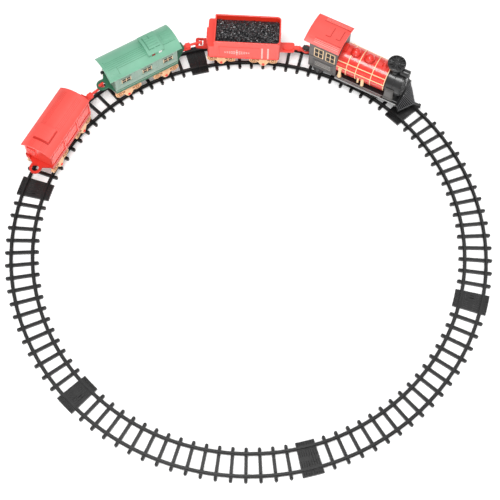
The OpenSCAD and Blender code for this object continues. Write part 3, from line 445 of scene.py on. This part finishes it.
def roof_patch(piece, x0, x1, y0, y1, top, radius, lift):
    """A thin panel that follows a roof arch, sunk a little into it and standing lift above it."""
    parts = 10
    sunk = 0.4
    ys = [y0 + (y1 - y0) * i / parts for i in range(parts + 1)]
    heights = [top - radius + math.sqrt(radius ** 2 - y * y) for y in ys]
    bm = piece.bm
    rows = []
    for x, drop in ((x0, -sunk), (x0, lift), (x1, lift), (x1, -sunk)):
        rows.append([bm.verts.new((x, y, z + drop)) for y, z in zip(ys, heights)])
    for a in range(4):
        one, two = rows[a], rows[(a + 1) % 4]
        for i in range(len(ys) - 1):
            bm.faces.new((one[i], one[i + 1], two[i + 1], two[i]))
    for end in (0, -1):
        bm.faces.new([row[end] for row in rows])


def roof_ends(piece, rear, front, half, top, radius):
    """A bead across each end of a roof."""
    for x in (rear, front):
        roof_patch(piece, x - 0.5, x + 0.5, -half, half, top, radius, 0.3)


def arch_radius(half, rise):
    """The radius of an arch from half its width and its rise."""
    return (half * half + rise * rise) / (2 * rise)


def cab_roof_details():
    """Two raised panels on the cab roof, their edges and two seams in painted shade, pink streaks
    of painted highlight on the roof's sides, and end beads.
    """
    low, high = LOCO.box("cab_roof")
    top = high.z
    radius = arch_radius(high.y, CAB_ROOF_RISE)
    panels = piece_on(LOCO, "cab_roof_panels", "roof_red")
    roof_patch(panels, -42.5, -35.2, -7.2, 10.5, top, radius, 0.5)
    roof_patch(panels, -26, -19.8, -6.7, 11.6, top, radius, 0.5)
    # Dark strips along the panels' near and rear edges and along two seams: painted shade.
    shade = piece_on(LOCO, "cab_roof_edge_shade", "frame_red", ROOF_SHADE)
    for x0, x1, y0, y1 in ((-35.3, -34.2, -7.8, 10.5), (-42.5, -35, -8.4, -7.4),
                           (-19.9, -18.8, -7.3, 11.6), (-26, -19.6, -7.9, -6.9),
                           (-55, -13, -16.9, -16.2), (-55, -13, 16.2, 16.9)):
        roof_patch(shade, x0, x1, y0, y1, top, radius, 0.16)
    shade.finish(bevel=0.0)
    # Thin pink streaks on the roof's sides: painted highlight.
    streaks = piece_on(LOCO, "cab_roof_highlight_streaks", "roof_red", PRINT_AND_HIGHLIGHT_PINK)
    for y in (-19.0, -21.3, -23.6):
        for way in (-1, 1):
            roof_patch(streaks, -54, -14, way * y - 0.16, way * y + 0.16, top, radius, 0.14)
    streaks.finish(bevel=0.0)
    roof_ends(panels, low.x + 0.7, high.x - 0.7, high.y - 0.6, top, radius)
    panels.finish()


def boiler_details():
    """Handrails, dome rings, dark rings of painted shade round the domes and the bell, the bell
    and the pipes under the boiler.
    """
    low, high = LOCO.box("boiler")
    rails = piece_on(LOCO, "boiler_handrails", "gold_trim")
    rear_r, front_r = high.y, high.y - 1.4
    near_rails, far_rails = (14.5, 5.5), (0.5,)
    for side in (-1, 1):
        for above in near_rails if side < 0 else far_rails:
            ends = []
            for x, r in ((low.x + 0.5, rear_r), (high.x, front_r)):
                reach = r + 1.0
                ends.append(Vector((x, side * math.sqrt(reach ** 2 - above ** 2),
                                    BOILER_Z + above)))
            rails.rod(*ends, 0.62)
            for x in (3.5, 17.2, 41.5, 60):
                t = (x - ends[0].x) / (ends[1].x - ends[0].x)
                place = ends[0].lerp(ends[1], t)
                out = Vector((0, place.y, above)).normalized()
                rails.knob(place - out * 0.9, out, 1.15, 2.1)
    rails.finish(bevel=0.0)
    caps = piece_on(LOCO, "boiler_dome_rings", "boiler_red")
    for x in DOMES:
        caps.ring((x, 0, high.z - 5.2), UP, DOME_R, 0.5)
        caps.ring((x, 0, BOILER_Z + 24.4), UP, DOME_R + 0.1, 0.6)
        caps.knob((x, 0, high.z - 0.3), UP, 1.6, 1.2)
    caps.rod((BELL_X, 0, BOILER_Z + 19), (BELL_X, 0, BOILER_Z + 28.5), 4.9, 2.4, sides=24)
    caps.ring((BELL_X, 0, BOILER_Z + 20.6), UP, 4.8, 0.7)
    caps.knob((BELL_X, 0, BOILER_Z + 28.4), UP, 2.4, 2.0, sides=20)
    # Dark rings at the domes' feet, under their caps and at the bell's foot: painted shade.
    feet = piece_on(LOCO, "boiler_dome_foot_shade", "boiler_red", ROOF_SHADE)
    for x in DOMES:
        feet.ring((x, 0, BOILER_Z + 22.2), UP, DOME_R + 0.9, 0.6)
        feet.ring((x, 0, high.z - 6.6), UP, DOME_R + 0.05, 0.35)
    feet.ring((BELL_X, 0, BOILER_Z + 20.2), UP, 5.2, 0.5)
    feet.finish(bevel=0.0)
    pipe_z = BOILER_Z - 14.5
    for side in (-1, 1):
        caps.rod((low.x + 12, side * 17.5, pipe_z), (high.x - 2, side * 16.6, pipe_z), 0.8)
    caps.finish(bevel=0.0)


def board_treads():
    """Cross ribs along both edges of the running board, in a lighter grey that paints their
    highlight.
    """
    high = LOCO.box("loco_chassis")[1]
    rear, front = -13.5, high.x - 0.4
    # The ribs are lighter grey than the black board: painted highlight along its edges.
    treads = piece_on(LOCO, "running_board_treads", "loco_black", BOARD_HIGHLIGHT)
    for side in (-1, 1):
        outer = side * high.y
        for x in steps(-12, 62, 1.9):
            treads.box(x - 0.5, x + 0.5, *layer(side, outer, 3.4, 0), BOARD_TOP - 0.2,
                       BOARD_TOP + 0.45)
        treads.box(rear, front, *layer(side, outer, 4.4, -3.7), BOARD_TOP - 0.2, BOARD_TOP + 0.5)
        treads.box(rear, front, *layer(side, outer, 0.6, 0), 25.6, BOARD_TOP)
    treads.finish(bevel=0.1)


def slat_highlights():
    """Lighter grey bars along the slats of the cowcatcher: painted highlight."""
    slats = 9
    edges = piece_on(LOCO, "cowcatcher_slat_highlights", "loco_black", SLAT_HIGHLIGHT)
    nose = Vector((110.4, 0, 11))
    for side in (-1, 1):
        corner = Vector((93.5, side * 24.2, 11))
        for i in range(slats):
            t = (i + 0.5) / slats
            top = Vector((BOARD_FRONT + 1.6, side * t * (BOARD_HALF - 1.2), 25))
            foot = nose + (corner - nose) * t
            lift = Vector((0.5, side * 0.4, 0.5))
            edges.rod(top + lift, foot + lift, 0.55, sides=6)
        edges.rod(nose + Vector((0.3, 0, 1.3)), corner + Vector((0.3, 0, 1.3)), 0.6, sides=6)
    edges.finish(bevel=0.0)


def smokebox_details():
    """The smokebox door's rings, nuts and hinges, and the steam chests' covers."""
    rear = LOCO.box("smokebox")[0].x
    front = SMOKEBOX_FRONT
    door = piece_on(LOCO, "smokebox_door_fittings", "loco_black")
    door.ring((front, 0, BOILER_Z), AHEAD, 13.2, 0.7)
    door.ring((front - 0.9, 0, BOILER_Z), AHEAD, SMOKEBOX_R - 2.2, 0.9, sides=48)
    for i in range(12):
        a = i * math.tau / 12
        place = (front - 0.2, 15 * math.cos(a), BOILER_Z + 15 * math.sin(a))
        door.rod(place, (front + 0.9, place[1], place[2]), 1.0, sides=6)
    for z in (-5, 5):
        door.box(front - 0.2, front + 0.7, -13, 3, BOILER_Z + z - 0.9, BOILER_Z + z + 0.9)
    for x in (rear + 1.2, rear + 12, front - 2.5):
        door.ring((x, 0, BOILER_Z), AHEAD, SMOKEBOX_R, 0.55, sides=64)
    door.finish()
    chest = piece_on(LOCO, "steam_chest_covers", "cab_grey")
    box_low, box_high = LOCO.box("steam_cylinders")
    for side in (-1, 1):
        face = side * (box_high.y - 0.7)
        chest.box(box_low.x + 3, box_high.x - 3, *layer(side, face, 0.3, 0.5), 35.5, 49)
        for x in (box_low.x + 2.2, box_high.x - 2.2):
            for z in (34.5, 39.5, 44.5, 49.5):
                chest.knob((x, face, z), (0, side, 0), 0.6, 0.5)
        for x in steps(box_low.x + 2.5, box_high.x - 2.5, 3.4):
            chest.knob((x, face, 51), (0, side, 0), 0.55, 0.5)
    chest.finish()


def stack_fins():
    """The grille of long and short bars in the smokestack's mouth, and its rim."""
    low, high = LOCO.box("smokestack")
    middle = (low.x + high.x) / 2
    fins = piece_on(LOCO, "stack_grille", "loco_black")
    top = high.z
    for i in range(24):
        a = i * math.tau / 24 + 0.06
        inner, outer = (3.2, 12.0) if i % 2 else (6.0, 12.0)
        along = Vector((math.cos(a), math.sin(a), 0))
        fins.rod(Vector((middle, 0, top - 1.1)) + along * inner,
                 Vector((middle, 0, top - 0.9)) + along * outer, 0.42, sides=6)
    fins.ring((middle, 0, top - 0.4), UP, high.y - 0.9, 0.75, sides=48)
    fins.ring((middle, 0, top - 0.7), UP, 5.4, 0.4)
    fins.knob((middle, 0, top - 1.2), UP, 2.8, 1.3)
    fins.finish(bevel=0.0)


def headlight_details():
    """The headlight's rims, its rounded back and its vent."""
    low, high = LOCO.box("headlight")
    z = high.z - 5.6
    rim = piece_on(LOCO, "headlight_rim", "loco_black")
    rim.ring((high.x - 0.2, 0, z), AHEAD, 5.3, 0.6)
    rim.ring((low.x + 0.5, 0, z), AHEAD, 5.2, 0.6)
    rim.knob((low.x + 0.2, 0, z), (-1, 0, 0), 4.6, 1.4, sides=24)
    rim.rod((low.x + 6, 0, z + 5.2), (low.x + 6, 0, z + 7), 1.5, 1.0)
    rim.finish(bevel=0.0)


def spoked_wheels(axle, body, tread_r, spokes):
    """Rim, hub and spokes on the outer face of both wheels of one locomotive axle."""
    at = LOCO.place(axle + "_wheels_spin")
    wheel = piece_on(LOCO, axle + "_wheel_spokes", "loco_black", body=body)
    for side in (-1, 1):
        centre = Vector((at.x, side * WHEEL_FACE, at.z))
        wheel.ring(centre, (0, 1, 0), tread_r - 1.0, 0.45, sides=40, around=6)
        wheel.ring(centre, (0, 1, 0), 2.6, 0.45, sides=24, around=6)
        wheel.knob(centre, (0, side, 0), 1.6, 1.1)
        for i in range(spokes):
            a = i * math.tau / spokes
            out = Vector((math.cos(a), 0, math.sin(a)))
            wheel.rod(centre + out * 2.2, centre + out * (tread_r - 1.0), 0.42, 0.32, sides=8)
    wheel.finish(bevel=0.0)


def locomotive():
    cab_details()
    cab_roof_details()
    boiler_details()
    board_treads()
    slat_highlights()
    smokebox_details()
    stack_fins()
    headlight_details()
    spoked_wheels("drive", "drive_train", DRIVER_R, 12)
    spoked_wheels("middle", "middle_wheels", DRIVER_R, 12)
    spoked_wheels("leading", "leading_wheels", LEADER_R, 8)


# ---------------------------------------------------------------- wagons


def bogie_trim(vehicle, name, node):
    """Bosses, bolts and leaf springs on a wagon's four bogie sides, with dark brown painted shade
    under the leaves and round the bosses, and its axle caps.
    """
    face = vehicle.box(node)[1].y
    trim = piece_on(vehicle, name + "_bogie_springs", "bogie_gold")
    shade = piece_on(vehicle, name + "_bogie_painted_shade", "bogie_gold", GOLD_SHADE)
    for end in ("front", "rear"):
        body = f"{name}_{end}_wheels"
        at = vehicle.place(body + "_spin")
        caps = piece_on(vehicle, body + "_axle_caps", "wheel_red", body=body)
        for side in (-1, 1):
            out = Vector((0, side, 0))
            caps.knob((at.x, side * AXLE_CAP_Y, at.z), out, 2.0, 1.1, sides=20)
            caps.ring((at.x, side * AXLE_CAP_Y, at.z), out, 1.75, 0.3, sides=24, around=6)
            for dx in (-14.6, 14.6):
                bogie_scroll(trim, shade, Vector((at.x + dx, side * (face - 0.4), BOSS_Z)), out,
                             -math.copysign(6.6, dx))
            for i in range(4):
                z = 30.2 - i * 1.5
                half = 7.2 - i * 1.5
                trim.box(at.x - half, at.x + half, *layer(side, side * face, 0.9, -0.1),
                         z - 0.5, z + 0.5)
                # A dark strip under each leaf: painted shade.
                shade.box(at.x - half, at.x + half, *layer(side, side * face, 0.9, -0.35),
                          z - 1.0, z - 0.5)
            for dx in (-2.9, 2.9):
                trim.knob((at.x + dx, side * (face - 0.5), 20.4), out, 0.6, 0.8, sides=8)
        caps.finish(bevel=0.0)
    trim.finish(bevel=0.1)
    shade.finish(bevel=0.0)


def bogie_scroll(trim, shade, boss, out, toward_axle):
    """The boss at one end of a bogie side, with its rings and a small scroll in dark brown painted
    shade, and its petals.
    """
    trim.knob(boss - out * 0.3, out, 1.9, 1.3)
    shade.ring(boss + out * 0.1, out, 4.9, 0.65, sides=36, around=6)
    shade.ring(boss + out * 0.4, out, 2.0, 0.6, sides=20, around=6)
    scroll = boss + out * 0.3 + Vector((toward_axle, 0, 1.4))
    shade.ring(scroll, out, 1.3, 0.45, sides=16, around=6)
    for i in range(6):
        a = i * math.tau / 6 + 0.3
        petal = boss + Vector((math.cos(a), 0, math.sin(a))) * 3.4
        trim.knob(petal - out * 0.4, out, 0.85, 0.9, sides=8, rings=3)


def coal_lumps():
    """A heap of broken, many-sided lumps over the moulded coal."""
    low, high = COAL.box("coal_load")
    rng = random.Random(11)
    heap = piece_on(COAL, "coal_lumps", "coal_black")
    middle = Vector(((low.x + high.x) / 2, (low.y + high.y) / 2, high.z))
    half = Vector(((high.x - low.x) / 2 - 1.6, (high.y - low.y) / 2 - 1.6, 0))
    for _ in range(820):
        x = rng.uniform(-1, 1)
        y = rng.uniform(-1, 1)
        r = rng.uniform(1.3, 2.9)
        crown = 1.9 * (1 - x * x) * (1 - y * y) + rng.uniform(-1.2, 0.9)
        place = middle + Vector((x * half.x, y * half.y, crown))
        if slot_in_load(place, low):
            continue
        lump(heap.bm, place, r, rng)
    heap.finish(bevel=0.0, smooth=False)


def slot_in_load(place, low):
    """True over the dark slot near the heap's rear corner, which has no lumps."""
    return low.x + 4 < place.x < low.x + 30 and low.y + 7 < place.y < low.y + 12


def lump(bm, place, r, rng):
    made = bmesh.ops.create_icosphere(bm, subdivisions=1, radius=r)
    squash = Vector((rng.uniform(0.7, 1.25), rng.uniform(0.7, 1.25), rng.uniform(0.5, 0.95)))
    turn = Matrix.Rotation(rng.uniform(0, math.tau), 3, "Z") @ Matrix.Rotation(
        rng.uniform(-0.7, 0.7), 3, "X")
    for v in made["verts"]:
        size = rng.uniform(0.72, 1.18)
        v.co = place + turn @ Vector((v.co.x * squash.x, v.co.y * squash.y,
                                      v.co.z * squash.z)) * size


def coal_details():
    """The coal wagon's stripes, flourishes, side mouldings with painted shade under them, and rim.
    """
    low, high = COAL.box("coal_body")
    redden_inside(COAL)
    rear, front = -36, 27
    foot, top = 38.5, 61.9
    prints = piece_on(COAL, "coal_wagon_stripes", "wagon_red", PRINT_AND_HIGHLIGHT_PINK)
    bead_shade = piece_on(COAL, "coal_wagon_bead_shade", "frame_red", ROOF_SHADE)
    mould = piece_on(COAL, "coal_wagon_mouldings", "wagon_red")
    for side in (-1, 1):
        face = side * high.y
        skin = layer(side, face, 0.15, 0.18)
        for x in (30.0, 39.0):
            prints.box(x - 1.2, x + 1.2, *skin, low.z + 1.0, high.z - 11)
        ornament(prints, -8.0, side, high.y, 48.0)
        bead = layer(side, face, 0.3, 0.35)
        mould.box(rear, front, *bead, top - 0.7, top)
        mould.box(rear, rear + 0.7, *bead, foot, top)
        # Dark strips under and beside the beads: painted shade.
        bead_shade.box(rear, front, *skin, top - 1.5, top - 0.7)
        bead_shade.box(rear + 0.7, rear + 1.4, *skin, foot, top - 0.7)
        mould.box(low.x + 6, high.x - 5, *bead, low.z + 0.2, low.z + 1.2)
    rim_bead(mould, COAL, high)
    for z in (40, 47):
        mould.box(high.x - 0.3, high.x + 0.6, -14, 14, z, z + 1.2)
    mould.finish()
    bead_shade.finish(bevel=0.0)
    prints.finish(bevel=0.04)


def ornament(piece, x, side, face, z):
    """A plain symmetric flourish: a lozenge between two tapering rows of strokes."""
    skin = [face - 0.15, face + 0.15]

    def dab(cx, cz, half_x, half_z):
        a, b = (Vector((cx, side * s, cz)) for s in skin)
        made = len(piece.bm.verts)
        piece.rod(a, b, 1.0, sides=4)
        piece.bm.verts.ensure_lookup_table()
        for v in piece.bm.verts[made:]:
            v.co.x = cx + (v.co.x - cx) * half_x
            v.co.z = cz + (v.co.z - cz) * half_z
    dab(x, z, 2.0, 4.0)
    for way in (-1, 1):
        for i in range(5):
            dab(x + way * (4.0 + i * 3.5), z + 2.6 - 0.5 * i, 2.1 - 0.2 * i, 1.0 - 0.1 * i)
            dab(x + way * (3.8 + i * 3.5), z - 0.4, 1.9 - 0.2 * i, 0.8 - 0.1 * i)
            dab(x + way * (4.0 + i * 3.5), z - 3.4 + 0.5 * i, 2.1 - 0.2 * i, 1.0 - 0.1 * i)
    dab(x, z + 5.8, 1.4, 1.2)
    dab(x, z - 5.8, 1.4, 1.2)


def rim_bead(piece, vehicle, high):
    """A rounded lip along the top of the coal wagon's walls."""
    z = high.z - 0.2
    x0, x1 = vehicle.box("coal_load")[0].x - 1.0, high.x - 1.0
    y = high.y - 1.0
    r = 5.5
    corners = [(x1 - r, y - r, 0), (x1 - r, -y + r, -90)]
    points = [Vector((x0, y, z))]
    for cx, cy, start in corners:
        for i in range(9):
            a = math.radians(start + 90 - i * 90 / 8)
            points.append(Vector((cx + r * math.cos(a), cy + r * math.sin(a), z)))
    points.append(Vector((x0, -y, z)))
    path = []
    for i, p in enumerate(points):
        along = (points[min(i + 1, len(points) - 1)] - points[max(i - 1, 0)]).normalized()
        path.append((p, along.cross(Vector((0, 0, 1))), Vector((0, 0, 1))))
    section = [(1.15 * math.cos(a), 0.8 * math.sin(a)) for a in
               (k * math.tau / 10 for k in range(10))]
    piece.strip(path, section)


def roof_line(piece, x0, x1, y, top, radius, lift=0.35, width=0.7):
    roof_patch(piece, x0, x1, y - width / 2, y + width / 2, top, radius, lift)


def green_details():
    """The caboose's roof, dark panes of painted shade in the windows, mouldings, sills and end
    doors.
    """
    green_roof_lines()
    low, high = GREEN.box("green_body")
    # The window panes are near-black sheets: painted shade in the openings.
    panes = piece_on(GREEN, "caboose_window_shade", "side_green", SHADE_PANE)
    mould = piece_on(GREEN, "caboose_mouldings", "side_green")
    sill = piece_on(GREEN, "caboose_sills", "frame_green")
    for side in (-1, 1):
        face = side * high.y
        shade_layer = layer(side, face, 0.5, 0.36)
        skin = layer(side, face, 0.2, 0.35)
        for x in (-34.2, 1.3, 36.8):
            four_panes(panes, x, 55.25, 7.8, 4.75, 0.9, 0.25, 1.0, shade_layer)
            mould.box(x - 9.2, x + 9.2, *layer(side, face, 0.2, 0.8), 48.6, 49.6)
            mould.box(x - 9.2, x + 9.2, *layer(side, face, 0.2, 0.9), 60.9, 61.8)
        for x in (-45.8, -19, -15, 16.5, 20.5, 49.5):
            mould.box(x - 0.4, x + 0.4, *skin, low.z + 2.4, 66)
        mould.box(low.x, high.x, *skin, 46.4, 47.2)
        for x in steps(low.x + 2, high.x - 2, 4.0):
            mould.knob((x, face, 65), (0, side, 0), 0.42, 0.35, sides=8, rings=3)
        sill.box(low.x - 0.2, high.x + 0.2, *layer(side, face, 0.2, 0.5), low.z + 0.9,
                 low.z + 1.7)
        mould.box(low.x - 0.2, high.x + 0.2, *layer(side, face, 0.2, 0.8), low.z - 0.2,
                  low.z + 0.9)
    end_door(mould, panes, low.x, -1)
    end_door(mould, panes, high.x, 1)
    panes.finish(bevel=0.0)
    mould.finish()
    sill.finish()
    cupola_panes()


def green_roof_lines():
    """Planks along the caboose's roof, with dark strips of painted shade beside them and on the
    cupola.
    """
    roof_low, roof_high = GREEN.box("green_roof")
    crown = CAR_EAVE + CAR_ROOF_RISE
    radius = arch_radius(CAR_ROOF_HALF, CAR_ROOF_RISE)
    lines = piece_on(GREEN, "caboose_roof_planks", "roof_green")
    # Dark green strips beside the planks, at the roof's rear and round the cupola: painted shade.
    shade = piece_on(GREEN, "caboose_roof_shade_strips", "frame_green", PLANK_SHADE)
    for y in (-8.0, -4.8, -1.6, 1.6, 4.8):
        roof_line(lines, -55, 7.5, y, crown, radius)
        roof_line(shade, -55, 7.5, y - 0.55, crown, radius, 0.1, 0.4)
    roof_line(shade, -40, 7.5, -11.6, crown, radius, 0.12, 0.6)
    roof_line(shade, -56.5, -55.6, 2, crown, radius, 0.12, 12)
    roof_line(shade, -42, -41.2, -14.5, crown, radius, 0.12, 11)
    roof_line(lines, 37, 57, -9.5, crown, radius, 0.5)
    roof_line(shade, 37, 57, -10.1, crown, radius, 0.12, 0.6)
    roof_line(lines, 42.5, 43.7, 13, crown, radius, 0.6, 6)
    cupola_r = arch_radius(CUPOLA_HALF, CUPOLA_RISE)
    for x0, x1, y, width in ((12.4, 13.3, 0.5, 23.5), (12.4, 21.5, -11.4, 0.8),
                             (23.5, 31.5, -11.4, 0.6), (21.6, 22.4, 9, 7)):
        roof_line(shade, x0, x1, y, roof_high.z - 0.6, cupola_r, 0.75, width)
    shade.finish(bevel=0.0)
    roof_ends(lines, roof_low.x + 0.6, roof_high.x - 0.6, 24, crown, radius)
    lines.finish()


def end_door(mould, panes, x, end):
    """A door with a window in a wagon's end wall."""
    wall = sorted((x - end * 0.2, x + end * 0.6))
    for y0, y1, z0, z1 in ((-7, -6, 38, 66), (6, 7, 38, 66), (-7, 7, 65, 66), (-7, 7, 50, 51)):
        mould.box(*wall, y0, y1, z0, z1)
    mould.knob((x + end * 0.3, 4.4, 48), (end, 0, 0), 0.9, 1.0)
    # On the caboose this pane is a near-black sheet of painted shade.
    panes.box(*sorted((x - end * 0.1, x + end * 0.2)), -4.6, 4.6, 53, 63)


def cupola_panes():
    """A red and a white pane on each side of the caboose's cupola."""
    dark = piece_on(GREEN, "cupola_red_panes", "frame_red", RED_PANE)
    white = piece_on(GREEN, "cupola_white_panes", "clear_lens", PRINT_WHITE)
    for piece, x in ((dark, 16.8), (white, 28.0)):
        for side in (-1, 1):
            piece.box(x - 2.7, x + 2.7, *sorted((side * 17.6, side * 16.6)), 73.7, 78.3)
            piece.box(x - 2.1, x + 2.1, *sorted((side * 17.9, side * 17.5)), 74.3, 77.7)
        piece.finish(bevel=0.08)


def red_details():
    """The baggage wagon's roof grooves and hatch edges in painted shade, ribbed side panels, sills
    and end door.
    """
    low, high = RED.box("red_body")
    roof_low, roof_high = RED.box("red_roof")
    crown = CAR_EAVE + CAR_ROOF_RISE
    radius = arch_radius(CAR_ROOF_HALF, CAR_ROOF_RISE)
    lines = piece_on(RED, "baggage_roof_planks", "roof_red")
    shade = piece_on(RED, "baggage_hatch_edge_shade", "frame_red", ROOF_SHADE)
    # Dark strips along the hatch's rear and near edges: painted shade.
    roof_patch(shade, -41.0, -38.2, -13.4, 12.4, crown, radius, 0.7)
    roof_patch(shade, -38.4, -15.5, -13.8, -12.2, crown, radius, 0.7)
    shade.finish(bevel=0.1)
    # Darker red strips standing for the roof's grooves: painted shade.
    grooves = piece_on(RED, "baggage_roof_groove_shade", "frame_red", ROOF_GROOVE_SHADE)
    for y in (-15.4, -13.2, -11.0, -8.8, 8.8, 11.0, 13.2, 15.4):
        roof_line(grooves, -14, 47, y, crown, radius, 0.12, 0.35)
        roof_line(grooves, roof_low.x + 1.6, -42, y - math.copysign(2.4, y), crown, radius, 0.12,
                  0.35)
    grooves.finish(bevel=0.0)
    roof_ends(lines, roof_low.x + 0.6, roof_high.x - 0.6, 24, crown, radius)
    lines.finish()
    panels = piece_on(RED, "baggage_side_panels", "wagon_red")
    sill = piece_on(RED, "baggage_sills", "frame_red")
    panes = piece_on(RED, "baggage_panes", "frame_red", RED_PANE)
    for side in (-1, 1):
        face = side * RED_SIDE
        skin = layer(side, face, 0.2, 0.45)
        sill.box(low.x - 0.2, high.x + 0.2, *layer(side, face, 0.2, 1.0), low.z - 0.3,
                 low.z + 3.4)
        panels.box(low.x, high.x, *layer(side, face, 0.2, 0.9), 63.6, 64.8)
        for x0, x1 in ((low.x + 3, -19), (-14, 15.5), (20.5, high.x - 3.4)):
            panels.box(x0, x1, *skin, 42.5, 60.5)
            for x in steps(x0 + 1.2, x1 - 1.2, 3.4):
                panels.box(x - 0.35, x + 0.35, *layer(side, face, 0, 0.75), 43.2, 59.8)
            for x in (x0 + 0.9, x1 - 0.9):
                for z in (43.4, 59.6):
                    panels.knob((x, face + side * 0.4, z), (0, side, 0), 0.6, 0.5, sides=8)
    end_door(panels, panes, high.x, 1)
    panels.finish()
    sill.finish()
    panes.finish(bevel=0.0)


def wagons():
    coal_lumps()
    coal_details()
    green_details()
    red_details()
    bogie_trim(COAL, "coal", "coal_bogies")
    bogie_trim(GREEN, "caboose", "green_bogies")
    bogie_trim(RED, "baggage", "red_bogies")


# ---------------------------------------------------------------- track


def ring_place(r, degrees, z):
    a = math.radians(degrees)
    return Vector((r * math.cos(a), r * math.sin(a), z))


def track_details():
    """Spikes beside the rails on every sleeper, and ribs and lugs on the joint plates."""
    for i in range(SECTIONS):
        start = JOINT_ANGLE + i * 360 / SECTIONS
        fixings = Piece(f"track_fixings_{i + 1}", Matrix(), "track", "track_black")
        for k in range(SLEEPERS):
            a = start + FIRST_SLEEPER + k * SLEEPER_PITCH
            for r in (TRACK_R - 19.2, TRACK_R - 11.4, TRACK_R + 11.4, TRACK_R + 19.2):
                fixings.knob(ring_place(r, a, SLEEPER_TOP), UP, 0.95, 0.7, sides=8, rings=3)
            for r in (TRACK_R - 22.4, TRACK_R + 22.4):
                fixings.knob(ring_place(r, a, SLEEPER_TOP), UP, 1.7, 0.8, sides=12, rings=3)
        for way in (-1, 1):
            for k in range(4):
                a = start + way * (0.35 + k * 0.55)
                for r0, r1 in ((-11.2, -3), (3, 11.2), (-23.2, -19), (19, 23.2)):
                    fixings.rod(ring_place(TRACK_R + r0, a, SLEEPER_TOP),
                                ring_place(TRACK_R + r1, a, SLEEPER_TOP), 0.55, sides=8)
        fixings.finish(bevel=0.0)


# ---------------------------------------------------------------- stage


def floor():
    """A matt white floor that glows a little, just under the track."""
    mesh = bpy.data.meshes.new("floor")
    size = 6.0
    corners = [(-size, -size, 0), (size, -size, 0), (size, size, 0), (-size, size, 0)]
    mesh.from_pydata(corners, [], [(0, 1, 2, 3)])
    obj = bpy.data.objects.new("floor", mesh)
    obj.location.z = -0.0004
    bpy.context.collection.objects.link(obj)
    n = Nodes("floor_white")
    n.set(n.shader.inputs["Base Color"], n.ramp(n.noise(3.0), [
        (0.3, (0.93, 0.93, 0.93)), (0.7, (0.95, 0.95, 0.95))]))
    n.shader.inputs["Roughness"].default_value = 0.9
    n.shader.inputs["Specular IOR Level"].default_value = 0.1
    n.shader.inputs["Emission Color"].default_value = (1.0, 1.0, 1.0, 1.0)
    n.shader.inputs["Emission Strength"].default_value = 0.16
    mesh.materials.append(n.material)


def area_light(name, place, aim, size, power):
    data = bpy.data.lights.new(name, "AREA")
    data.shape = "DISK"
    data.size = size
    data.energy = power
    obj = bpy.data.objects.new(name, data)
    obj.location = place
    obj.rotation_euler = (Vector(aim) - Vector(place)).to_track_quat("-Z", "Y").to_euler()
    bpy.context.collection.objects.link(obj)


def lights():
    world = bpy.data.worlds.new("studio")
    bpy.context.scene.world = world
    world.use_nodes = True
    background = world.node_tree.nodes["Background"]
    background.inputs["Color"].default_value = (1.0, 1.0, 1.0, 1.0)
    background.inputs["Strength"].default_value = 0.5
    aim = (0, 0.1, 0)
    area_light("key", (-0.3, -0.5, 2.5), aim, 1.1, 40.0)
    area_light("fill", (0.3, -2.0, 1.6), aim, 2.6, 26.0)
    area_light("rim", (0.9, 1.4, 2.2), aim, 1.8, 8.0)
    bpy.context.scene.view_settings.view_transform = "Standard"


def camera():
    """A long lens high in front of the ring, rolled by a degree and a half."""
    elevation = math.radians(64.79)
    roll = math.radians(-1.448)
    distance = 1.7708
    aim = Vector((0.0017, -0.0108, 0.006))
    back = Vector((0.0, -math.cos(elevation), math.sin(elevation)))
    level = Vector((1.0, 0.0, 0.0))
    up = back.cross(level)
    right = level * math.cos(roll) - up * math.sin(roll)
    tilted_up = level * math.sin(roll) + up * math.cos(roll)
    data = bpy.data.cameras.new("camera")
    data.sensor_width = 36.0
    data.lens = 88.76
    data.clip_end = 20.0
    obj = bpy.data.objects.new("camera", data)
    turn = Matrix((right, tilted_up, back)).transposed()
    obj.matrix_world = Matrix.Translation(aim + back * distance) @ turn.to_4x4()
    bpy.context.collection.objects.link(obj)
    bpy.context.scene.camera = obj


locomotive()
wagons()
track_details()
floor()
lights()
camera()
